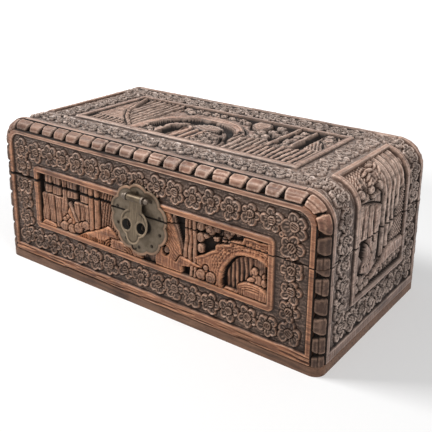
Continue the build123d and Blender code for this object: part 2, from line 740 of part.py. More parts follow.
# A hinge leaf let into the edge at the given height. The case's leaf has the two outer
# knuckles and the lid's leaf has the middle one.
def hinge_leaf(centre, edge, into, middle):
    leaf_low = min(edge, edge + into * leaf_thickness)
    half = hinge_length / 2
    inner_end = middle_knuckle / 2
    outer_start = inner_end + knuckle_gap
    spans = [(-inner_end, inner_end)] if middle else [(-half, -outer_start), (outer_start, half)]
    leaf_plane = Plane.XY.offset(leaf_low)
    leaf_high = leaf_low + leaf_thickness
    with BuildPart() as leaf:
        plate = rectangle_sketch(leaf_plane, centre - half, centre + half, leaf_inner_y, leaf_outer_y)
        extrude(plate, amount=leaf_thickness)
        for low, high in spans:
            with BuildSketch(Plane.YZ.offset(centre + low)):
                with Locations((hinge_y, hinge_z)):
                    Circle(knuckle_radius)
                add(rectangle_sketch(Plane.XY, leaf_outer_y - over, hinge_y, leaf_low, leaf_high))
            extrude(amount=high - low)
        with BuildSketch(Plane.YZ.offset(centre - half)):
            with Locations((hinge_y, hinge_z)):
                Circle(hinge_pin_radius + running_fit)
        extrude(amount=hinge_length, mode=Mode.SUBTRACT)
        face = Plane((centre, screw_y, edge), z_dir=(0, 0, -into))
        with Locations(face):
            with GridLocations(screw_spacing, 1, 2, 1):
                CounterSinkHole(
                    screw_radius + running_fit,
                    screw_head_radius + running_fit,
                    depth=leaf_thickness,
                    counter_sink_angle=90,
                )
    return leaf.part


# Countersunk screws of both hinges in one edge, as separate solids
def hinge_screws(edge, into):
    with BuildPart() as screws:
        for centre in (-hinge_spacing / 2, hinge_spacing / 2):
            for x in (centre - screw_spacing / 2, centre + screw_spacing / 2):
                with BuildSketch(Plane((x, screw_y, edge), x_dir=(1, 0, 0), z_dir=(0, into, 0))):
                    with BuildLine():
                        Polyline(
                            (0, 0),
                            (screw_head_radius, 0),
                            (screw_radius, -screw_head_height),
                            (screw_radius, screw_tip - screw_length),
                            (0, -screw_length),
                            close=True,
                        )
                    make_face()
                revolve(axis=Axis((x, screw_y, edge), (0, 0, 1)))
    return screws.part


for name, centre in (("left_hinge", -hinge_spacing / 2), ("right_hinge", hinge_spacing / 2)):
    case_leaf = hinge_leaf(centre, lid_line, -1, middle=False)
    case_leaf.label = name + "_case_leaf"
    export_step(case_leaf, "parts/" + case_leaf.label + ".step")
    lid_leaf = hinge_leaf(centre, lid_bottom, 1, middle=True)
    lid_leaf.label = name + "_lid_leaf"
    export_step(lid_leaf, "parts/" + lid_leaf.label + ".step")
    with BuildPart() as hinge_pin:
        pin_length = hinge_length + 2 * hinge_pin_overhang
        with BuildSketch(Plane.YZ.offset(centre - pin_length / 2)):
            with Locations((hinge_y, hinge_z)):
                Circle(hinge_pin_radius)
        extrude(amount=pin_length)
    hinge_pin.part.label = name + "_pin"
    export_step(hinge_pin.part, "parts/" + hinge_pin.part.label + ".step")

case_hinge_screws = hinge_screws(lid_line, -1)
case_hinge_screws.label = "case_hinge_screws"
export_step(case_hinge_screws, "parts/case_hinge_screws.step")

lid_hinge_screws = hinge_screws(lid_bottom, 1)
lid_hinge_screws.label = "lid_hinge_screws"
export_step(lid_hinge_screws, "parts/lid_hinge_screws.step")


# Half of the lock plate: a thin sheet with a raised rim round its lobes
def lock_plate(low, high, holes):
    face = Plane.XZ.offset(half_depth)
    with BuildPart() as plate:
        extrude(half_plate_sketch(face, 0, low, high), amount=plate_thickness + rim_height)
        field = half_plate_sketch(face.offset(plate_thickness), plate_rim, low - over, high + over)
        extrude(field, amount=rim_height, mode=Mode.SUBTRACT)
        for centres, radius in holes:
            add(front_holes(centres, radius, over), mode=Mode.SUBTRACT)
    return plate.part


plate_low = plate_height - 2 * lobe_radius
plate_high = plate_height + 2 * lobe_radius
upper_holes = [(eye_centres, eye_thickness / 2), (nail_centres(1), nail_radius)]
lower_holes = [(staple_centres, staple_wire), (nail_centres(-1), nail_radius)]
upper_plate = lock_plate(lid_bottom, plate_high, upper_holes)
upper_plate.label = "upper_lock_plate"
export_step(upper_plate, "parts/upper_lock_plate.step")

lower_plate = lock_plate(plate_low, lid_line, lower_holes)
lower_plate.label = "lower_lock_plate"
export_step(lower_plate, "parts/lower_lock_plate.step")


# Round-headed nails of one half of the plate, as separate solids
def plate_nails(side):
    with BuildPart() as nails:
        for x, z in nail_centres(side):
            with BuildSketch(Plane((x, plate_y, z), x_dir=(1, 0, 0), z_dir=(0, 0, 1))):
                with BuildLine():
                    Polyline(
                        (0, nail_length),
                        (nail_radius, nail_length - nail_tip),
                        (nail_radius, 0),
                        (nail_head_radius, 0),
                        (nail_head_radius, -nail_head_edge),
                        (nail_head_radius - nail_head_bevel, -nail_head_height),
                        (0, -nail_head_height),
                        close=True,
                    )
                make_face()
            revolve(axis=Axis((x, plate_y, z), (0, 1, 0)))
    return nails.part


upper_nails = plate_nails(1)
upper_nails.label = "upper_plate_nails"
export_step(upper_nails, "parts/upper_plate_nails.step")

lower_nails = plate_nails(-1)
lower_nails.label = "lower_plate_nails"
export_step(lower_nails, "parts/lower_plate_nails.step")

# Eyes that carry the hasp's pin, each with a shank driven into the lid
with BuildPart() as pin_eyes:
    for x, z in eye_centres:
        with BuildSketch(Plane.YZ.offset(x - eye_thickness / 2)):
            with Locations((pin_y, z)):
                Circle(eye_radius)
        extrude(amount=eye_thickness)
        with BuildSketch(Plane.XZ.offset(-pin_y - eye_radius + eye_thickness)):
            with Locations((x, z)):
                Circle(eye_thickness / 2)
        extrude(amount=-(eye_thickness + pin_standoff - eye_radius + plate_thickness + eye_shank))
        with BuildSketch(Plane.YZ.offset(x - eye_thickness / 2)):
            with Locations((pin_y, z)):
                Circle(hasp_pin_radius + running_fit)
        extrude(amount=eye_thickness, mode=Mode.SUBTRACT)
pin_eyes.part.label = "hasp_pin_eyes"
export_step(pin_eyes.part, "parts/hasp_pin_eyes.step")

# Ball-ended pin of the hasp, turned in one piece
ball_centre = eye_offset + eye_thickness / 2 + ball_radius
neck = ball_centre - (ball_radius**2 - hasp_pin_radius**2) ** 0.5
with BuildPart() as hasp_pin:
    with BuildSketch(Plane((0, pin_y, pin_height), x_dir=(1, 0, 0), z_dir=(0, -1, 0))):
        with BuildLine():
            Line((-ball_centre - ball_radius, 0), (ball_centre + ball_radius, 0))
            ThreePointArc(
                (ball_centre + ball_radius, 0),
                (ball_centre, ball_radius),
                (neck, hasp_pin_radius),
            )
            Line((neck, hasp_pin_radius), (-neck, hasp_pin_radius))
            ThreePointArc(
                (-neck, hasp_pin_radius),
                (-ball_centre, ball_radius),
                (-ball_centre - ball_radius, 0),
            )
        make_face()
    revolve(axis=Axis((0, pin_y, pin_height), (1, 0, 0)))
hasp_pin.part.label = "hasp_pin"
export_step(hasp_pin.part, "parts/hasp_pin.step")

# Hasp: a tube on the pin and a tongue with two lobes, a rounded tip and two round holes
tilt = radians(hasp_tilt)
hasp_plane = Plane((0, pin_y, pin_height), x_dir=(1, 0, 0), z_dir=(0, -cos(tilt), sin(tilt)))
lobe_end_drop = hasp_hole_drop + hasp_hole_radius + hasp_hole_margin
lobe_end_half = hasp_tip_half + hasp_tip_flare
tip_drop = hasp_length - hasp_tip_half
with BuildPart() as hasp:
    with BuildSketch(hasp_plane.offset(-hasp_back)):
        with BuildLine() as half_outline:
            Line((0, 0), (hasp_neck_half, 0))
            ThreePointArc(
                (hasp_neck_half, 0),
                (hasp_waist_half, -hasp_neck_length / 2),
                (hasp_neck_half, -hasp_neck_length),
            )
            ThreePointArc(
                (hasp_neck_half, -hasp_neck_length),
                (hasp_lobe_half, hasp_lobe_rise - hasp_hole_drop),
                (lobe_end_half, -lobe_end_drop),
            )
            Line((lobe_end_half, -lobe_end_drop), (hasp_tip_half, -tip_drop))
            RadiusArc((hasp_tip_half, -tip_drop), (0, -hasp_length), hasp_tip_half)
            mirror(about=Plane.YZ)
        make_face()
    extrude(amount=hasp_thickness)
    with BuildSketch(Plane.YZ.offset(-hasp_neck_half)):
        with Locations((pin_y, pin_height)):
            Circle(hasp_tube_radius)
    extrude(amount=2 * hasp_neck_half)
    with BuildSketch(Plane.YZ.offset(-hasp_neck_half)):
        with Locations((pin_y, pin_height)):
            Circle(hasp_pin_radius + running_fit)
    extrude(amount=2 * hasp_neck_half, mode=Mode.SUBTRACT)
    with BuildSketch(hasp_plane.offset(-hasp_back)):
        with Locations((0, -hasp_hole_drop)):
            with GridLocations(staple_spacing, 1, 2, 1):
                Circle(hasp_hole_radius)
    extrude(amount=hasp_thickness, mode=Mode.SUBTRACT)
hasp.part.label = "hasp"
export_step(hasp.part, "parts/hasp.step")

# Staples of the case: bent wire that stands out under the hasp's holes
bend_y = plate_y - staple_reach + staple_wire + staple_bend
leg_end_y = staple_leg - half_depth
low_leg = staple_height - staple_bend
high_leg = staple_height + staple_bend
with BuildPart() as staples:
    for side in (-1, 1):
        x = side * staple_spacing / 2
        with BuildLine(Plane.YZ.offset(x)) as staple_path:
            Line((leg_end_y, low_leg), (bend_y, low_leg))
            CenterArc((bend_y, staple_height), staple_bend, -90, -180)
            Line((bend_y, high_leg), (leg_end_y, high_leg))
        with BuildSketch(Plane((x, leg_end_y, low_leg), x_dir=(1, 0, 0), z_dir=(0, -1, 0))):
            Circle(staple_wire)
        sweep(path=staple_path.line)
staples.part.label = "hasp_staples"
export_step(staples.part, "parts/hasp_staples.step")
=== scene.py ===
import json
from math import cos, pi, radians, sin

import bpy
import numpy as np
from mathutils import Matrix, Vector

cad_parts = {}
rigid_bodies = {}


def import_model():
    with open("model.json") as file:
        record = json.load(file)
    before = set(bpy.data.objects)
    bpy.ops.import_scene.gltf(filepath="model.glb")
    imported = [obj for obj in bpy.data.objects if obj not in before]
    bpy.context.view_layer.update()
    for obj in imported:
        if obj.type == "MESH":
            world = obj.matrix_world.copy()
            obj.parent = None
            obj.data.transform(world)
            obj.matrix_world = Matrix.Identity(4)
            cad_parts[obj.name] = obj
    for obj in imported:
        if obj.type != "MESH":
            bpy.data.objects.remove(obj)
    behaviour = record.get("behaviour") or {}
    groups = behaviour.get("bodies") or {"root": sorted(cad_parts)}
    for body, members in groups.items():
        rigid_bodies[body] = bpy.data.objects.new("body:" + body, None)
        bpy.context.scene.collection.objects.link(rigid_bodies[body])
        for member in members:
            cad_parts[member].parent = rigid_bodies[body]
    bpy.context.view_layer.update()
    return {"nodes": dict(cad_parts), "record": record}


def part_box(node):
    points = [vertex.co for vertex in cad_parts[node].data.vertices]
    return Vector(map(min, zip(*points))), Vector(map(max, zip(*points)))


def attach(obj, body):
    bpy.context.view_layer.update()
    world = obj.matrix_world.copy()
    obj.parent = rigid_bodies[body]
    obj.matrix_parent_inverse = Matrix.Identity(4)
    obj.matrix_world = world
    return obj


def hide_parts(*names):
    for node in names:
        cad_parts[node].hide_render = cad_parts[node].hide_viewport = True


# Carved camphor wood jewelry box: the boards are modelled again with their carving, the metal is
# dressed or modelled again, and the plain boards of the back keep their solids.
# Lengths are millimetres until a mesh is written, then metres.

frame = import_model()
nodes = frame["nodes"]
mm = 0.001
seeds = {"noise": 7, "front": 5, "wrap": 21, "beads": 33}
latticeSize = 256
latticeStart = (900.5, 700.5)  # where the middle of the box falls on the lattice
lattice = np.random.default_rng(seeds["noise"]).random((latticeSize, latticeSize))


def boxMm(node):
    low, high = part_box(node)
    return np.array(low) / mm, np.array(high) / mm


topLow, topHigh = boxMm("lid_top")
frontLow, frontHigh = boxMm("case_front")
railLow = boxMm("lid_front_rail")[0]
endLow, endHigh = boxMm("case_right_end")

# what the CAD boards say about the box
body = {
    "halfLength": endHigh[0],
    "halfDepth": -frontLow[1],
    "height": topHigh[2],
    "boardX": frontHigh[0],  # the long boards end here and the corner beads begin
    "boardY": topHigh[1],
    "insideX": endLow[0],
    "insideZ": topLow[2],
    "foot": frontLow[2],
    "lidLine": frontHigh[2],
    "lidBottom": railLow[2],
    "shoulder": topHigh[0],
}
body["round"] = body["halfLength"] - body["shoulder"]
body["shoulderZ"] = body["height"] - body["round"]
body["beads"] = body["halfLength"] - body["boardX"]
body["wall"] = body["height"] - body["insideZ"]
body["bevel"] = 3.0  # of the back edges at the lid line, where the hinges lie

# the carver's layout, as on the plain solids
layout = {
    "fillet": 4.0,
    "footBand": 7.0,
    "border": 1.8,  # depth of the flower border
    "picture": 5.9,  # depth of the pictures
    "frame": 4.5,
    "frameCorner": 4.0,
    "frontHalf": 113.0,
    "frontLow": 35.0,
    "frontHigh": 87.0,
    "topHalf": 104.0,
    "frameFront": -38.0,
    "frameBack": 46.0,
    "endLow": 34.0,
    "plateHeight": 70.3,
    "padRadius": 24.0,
    "frontFlowers": (16, 5),  # spaces along a row and down a column
    "wrapFlowers": (31, 7),
    "step": 0.5,  # between the points of a carved grid
    "topStep": 0.62,
}
arcLength = body["round"] * pi / 2
unrolledRim = body["shoulderZ"] + arcLength  # height of the shoulder's top when it is laid flat


# Smooth step, smooth noise, waves and a bell curve


def ease(low, high, x):
    t = np.clip((x - low) / (high - low), 0, 1)
    return t * t * (3 - 2 * t)


def hills(u, v, size):
    # rolling noise from 0 to 1 with hills about `size` apart
    x, y = u / size + latticeStart[0], v / size + latticeStart[1]
    i, j = np.floor(x).astype(int), np.floor(y).astype(int)
    a, b = ease(0, 1, x - i), ease(0, 1, y - j)
    i, j, iNext, jNext = (k % latticeSize for k in (i, j, i + 1, j + 1))
    low = lattice[i, j] * (1 - a) + lattice[iNext, j] * a
    high = lattice[i, jNext] * (1 - a) + lattice[iNext, jNext] * a
    return low * (1 - b) + high * b


def waves(x, pitch):
    return 0.5 + 0.5 * np.cos(2 * pi * x / pitch)


def bell(x, width):
    return np.exp(-((x / width) ** 2))


# Shapes: each gives the distance inside its outline, negative outside


def disc(u, v, cu, cv, radius):
    return radius - np.hypot(u - cu, v - cv)


def oval(u, v, cu, cv, radiusU, radiusV, turn=0.0):
    x = (u - cu) * cos(turn) + (v - cv) * sin(turn)
    y = (v - cv) * cos(turn) - (u - cu) * sin(turn)
    return (1 - np.hypot(x / radiusU, y / radiusV)) * min(radiusU, radiusV)


def panel(u, v, lowU, highU, lowV, highV, corner=0.0):
    x = np.abs(u - (lowU + highU) / 2) - (highU - lowU) / 2 + corner
    y = np.abs(v - (lowV + highV) / 2) - (highV - lowV) / 2 + corner
    return corner - np.hypot(np.maximum(x, 0), np.maximum(y, 0)) - np.minimum(np.maximum(x, y), 0)


def stroke(u, v, start, end, half, endHalf=None):
    # a bar with round ends, tapering from one half width to the other
    du, dv = end[0] - start[0], end[1] - start[1]
    t = np.clip(((u - start[0]) * du + (v - start[1]) * dv) / (du * du + dv * dv), 0, 1)
    width = half + ((half if endHalf is None else endHalf) - half) * t
    return width - np.hypot(u - start[0] - t * du, v - start[1] - t * dv)


def line(u, v, points, half):
    return np.max([stroke(u, v, a, b, half) for a, b in zip(points, points[1:])], axis=0)


def facet(u, v, points):
    # a convex outline given anticlockwise
    sides = []
    for (au, av), (bu, bv) in zip(points, points[1:] + points[:1]):
        length = np.hypot(bu - au, bv - av)
        sides.append(((bu - au) * (v - av) - (bv - av) * (u - au)) / length)
    return np.min(sides, axis=0)


# Carving: `face` holds the points u and v, the height h and the rubbed-up share of each point


def cut(face, shape, top, soft, rub=None):
    # lays a form at height `top` over whatever is there, with a sloping side `soft` wide
    k = ease(-soft / 2, soft / 2, shape)
    face["h"] += (top - face["h"]) * k
    if rub is not None:
        face["rub"] += (rub - face["rub"]) * k


def dome(face, shape, low, high, size, rub):
    bulge = np.sqrt(1 - (1 - np.clip(shape / size, 0, 1)) ** 2)
    cut(face, shape, low + (high - low) * bulge, 0.5, rub)


def score(face, distance, width, depth, where=1.0):
    face["h"] -= depth * bell(distance, width) * where


def ribs(face, shape, along, pitch, depth, soft=1.0, sharp=1):
    # parallel gouge strokes inside a shape; a higher sharp makes their valleys narrower
    k = ease(0, soft, shape)
    face["h"] -= depth * k * (0.5 - 0.5 * np.cos(2 * pi * along / pitch)) ** sharp


def part(face, where):
    return {key: value[where] for key, value in face.items()}


def putBack(face, where, piece):
    face["h"][where] = piece["h"]
    face["rub"][where] = piece["rub"]


def carvePicture(face, inner, carve, *hand):
    # lays a picture inside its frame, meeting it within half a millimetre
    where = inner > -0.5
    if not where.any():
        return
    scene = part(face, where)
    carve(scene, *hand)
    k = ease(-0.3, 0.3, inner[where])
    scene["h"] = face["h"][where] * (1 - k) + scene["h"] * k
    putBack(face, where, scene)


# Flower border: plum blossoms of five uneven petals with a turned-up rim and a scored eye
blossomStyle = {
    "size": 8.65,
    "sizeSpread": 0.03,
    "jitter": 0.35,
    "petals": 5,
    "petalAt": 0.58,
    "petalRadius": 0.43,
    "middle": 0.45,
    "eye": 0.35,
    "rim": 0.76,
    "dish": 1.35,
    "strokes": 14,
    "strokePitch": 1.5,
    "uneven": 0.09,
    "budRadius": 1.9,
    "budShare": 0.12,
    "budAside": 7.4,
}


def blossom(f, cu, cv, turn, size):
    s = blossomStyle
    u, v = f["u"], f["v"]
    x = u - cu + hills(u, v, 3.7) - 0.5
    y = v - cv + hills(v, u + 40, 3.7) - 0.5
    distance = np.hypot(x, y)
    draws = np.random.default_rng(int(turn * 1e6))
    best, second, inward = np.full_like(x, -99), np.full_like(x, -99), np.zeros_like(x)
    for index in range(s["petals"]):
        angle = turn + (index + draws.normal(0, s["uneven"])) * 2 * pi / s["petals"]
        reach = s["petalAt"] * size * draws.normal(1, s["uneven"] * 0.6)
        radius = s["petalRadius"] * size * draws.normal(1, s["uneven"])
        petal = disc(x, y, reach * cos(angle), reach * sin(angle), radius)
        along = x * cos(angle) + y * sin(angle)
        ahead = petal > best
        second = np.where(ahead, best, np.maximum(second, petal))
        inward = np.where(ahead, np.clip(reach - along, 0, None), inward)
        best = np.where(ahead, petal, best)
    outline = np.maximum(best, s["middle"] * size - distance)
    rim = s["rim"] * (0.65 + 0.7 * hills(u, v, 2.9))
    fromRim = best + 1.3 * inward
    ground = -layout["border"]
    height = ground - 0.15 + (0.25 - ground) * ease(-0.1, 0.7, outline) - 0.25 * hills(u + 9, v, 3.1)
    height -= s["dish"] * ease(rim * 0.8, rim + 1.2, fromRim)
    height -= 0.28 * np.cos(s["strokes"] * np.arctan2(y, x)) * ease(1.2, 2.0, fromRim)
    cut(f, outline, height, 0.45, 0.2 * (1 - ease(0.7, 1.3, fromRim)))
    eye = s["eye"] * size - distance
    score(f, best - second, 0.45, 0.6, ease(0.6, 1.6, -eye) * ease(-0.8, 0.2, outline))
    score(f, outline + 0.45, 0.5, 0.35)
    score(f, eye + 0.3, 0.45, 0.8)
    button = -0.3 - 0.3 * ease(0.5, 1.3, eye)
    button -= 1.1 * waves(x * cos(turn) + y * sin(turn), s["strokePitch"]) * ease(0.3, 0.8, eye)
    cut(f, eye, button, 0.4, 0.05)


def bud(f, cu, cv, radius):
    shape = disc(f["u"], f["v"], cu, cv, radius)
    cut(f, shape, -0.35 - 0.5 * ease(0.7, 1.6, shape), 0.5, 0.4 * (1 - ease(0.6, 1.2, shape)))


def flowerRow(start, end, count, draws, skipEnds=False):
    # evenly spaced flowers from start to end, each with its own turn, size and bud
    s = blossomStyle
    step = np.subtract(end, start) / count
    aside = np.array([-step[1], step[0]]) / np.hypot(*step) * s["budAside"]
    flowers = []
    for index in range(count + 1):
        jitter = draws.normal(0, s["jitter"], 2)
        turn, size = draws.uniform(0, 2 * pi), draws.normal(1, s["sizeSpread"])
        side, lucky = draws.choice((-1, 1)), draws.random()
        if skipEnds and index in (0, count):
            continue
        at = start + step * index + jitter
        flowers.append((*at, turn, s["size"] * size))
        if lucky < s["budShare"] and index < count:
            flowers.append((*(at + step / 2 + aside * side), None, s["budRadius"] * size))
    return flowers


def flowerBorder(face, rows, columns, counts, draws):
    # two rows right across and the columns between them
    flowers = []
    for row in rows:
        flowers += flowerRow((columns[0], row), (columns[-1], row), counts[0], draws)
    for column in columns:
        flowers += flowerRow((column, rows[0]), (column, rows[1]), counts[1], draws, skipEnds=True)
    for cu, cv, turn, size in flowers:
        reach = size + 1 if turn is None else size * 1.2
        near = (np.abs(face["u"] - cu) < reach) & (np.abs(face["v"] - cv) < reach)
        if near.any():
            f = part(face, near)
            if turn is None:
                bud(f, cu, cv, size)
            else:
                blossom(f, cu, cv, turn, size)
            putBack(face, near, f)


def fieldAndFrame(face, field, outer, inner):
    # the sunk border between the edge fillet and the picture frame, with punched ground
    u, v = face["u"], face["v"]
    streaks = 0.3 * hills(u * 0.3, v, 1.0) + 0.15 * hills(u, v, 0.8) + 0.25 * hills(u, v, 7)
    cut(face, np.minimum(field, -outer), -layout["border"] - streaks + 0.3, 0.6, 0.0)
    face["h"] -= 0.22 * hills(u * 0.12, v, 0.9) * np.maximum(1 - ease(-1, 0, field), ease(-0.5, 0.5, outer))
    score(face, field, 0.35, 0.3)
    score(face, outer, 0.35, 0.3)
    nicks = ease(0.62, 0.9, hills(u * 0.7, v * 0.7, 1.5))
    edges = bell(field - 0.5, 0.5) + bell(outer - 0.4, 0.5)
    face["h"] -= 0.35 * nicks * np.clip(edges, 0, 1)
    face["h"] -= 0.1 * hills(u, v, 3.1)
    cut(face, inner, -layout["picture"], 0.6, 0.0)


def plainFace(u, v):
    return {"u": u, "v": v, "h": np.zeros_like(u), "rub": np.full_like(u, 0.85)}


# Front: u to the right and v up


def frontHeight(u, v):
    face = plainFace(u, v)
    b, c = body, layout
    inset = b["beads"] + c["fillet"]
    fieldSide, fieldTop = b["halfLength"] - inset, b["height"] - inset
    aboveFoot = v - b["foot"] - c["footBand"]
    field = np.minimum(panel(u, v, -fieldSide, fieldSide, -99, fieldTop, b["round"] - inset), aboveFoot)
    outer = panel(u, v, -c["frontHalf"], c["frontHalf"], c["frontLow"], c["frontHigh"], c["frameCorner"])
    inner = panel(u, v, c["frame"] - c["frontHalf"], c["frontHalf"] - c["frame"],
                  c["frontLow"] + c["frame"], c["frontHigh"] - c["frame"], 1.0)
    fieldAndFrame(face, field, outer, inner)
    # long cracks along the foot band
    streaks = ease(0.52, 0.8, hills(u * 0.06, v + 0.6 * hills(u, v, 25), 1.0))
    face["h"] -= 0.9 * streaks * ease(0.3, -0.8, aboveFoot)
    column = (c["frontHalf"] + fieldSide) / 2
    rows = (b["foot"] + c["footBand"] + c["frontLow"]) / 2, (c["frontHigh"] + fieldTop) / 2
    flowerBorder(face, rows, (-column, column), c["frontFlowers"], np.random.default_rng(seeds["front"]))
    carvePicture(face, inner, frontPicture)
    cut(face, disc(u, v, 0, c["plateHeight"], c["padRadius"]), 0.0, 1.0)
    return face


def warped(f, size, reach, seed):
    # the place of each point, shaken a little so that no line is ruled
    u = f["u"] + reach * (hills(f["u"] + seed, f["v"], size) - 0.5)
    v = f["v"] + reach * (hills(f["v"] - seed, f["u"], size) - 0.5)
    return u, v


def chiselled(f, u, v, stretch, depth):
    # flat gouge marks, long along v when stretch is small, and a finer grain
    marks = np.abs(hills(u, v * stretch, 1.7) - 0.5) * 2
    f["h"] += depth * (marks - 0.5) + 0.3 * (hills(u, v * stretch * 0.6, 0.8) - 0.5)
    f["h"] = np.clip(f["h"], -layout["picture"], -0.35)


def cloth(f, u, v, low, high, bottom, top, valleys):
    # hanging cloth with its folds' valleys at the given places
    shape = panel(u, v, low, high, bottom, top, 0.6)
    cut(f, shape, -1.2, 0.9, 0.55)
    k = ease(0, 1.2, shape)
    for valley in valleys:
        f["h"] -= 1.5 * k * bell(u - valley, 1.0)
    f["h"] -= 0.5 * k * (0.5 + 0.5 * np.cos((u + 0.05 * v) * 3.1))


def bar(f, u, v, start, end, half, high=-0.8, rub=0.6, endHalf=None):
    shape = stroke(u, v, start, end, half, endHalf)
    score(f, shape + 0.3, 0.7, 1.0)
    dome(f, shape, -2.8, high, half, rub)


def stone(f, u, v, x, y, wide, tall, turn, rings):
    shape = oval(u, v, x, y, wide, tall, turn)
    score(f, shape + 0.2, 0.8, 1.6)
    dome(f, shape, -2.8, -0.8, tall * 0.55, 0.5)
    for ring in range(rings):
        score(f, shape - tall * (0.3 + 0.3 * ring), 0.35, 0.45)


def hollow(f, shape, soft=0.9):
    cut(f, shape, -layout["picture"], soft, 0.0)


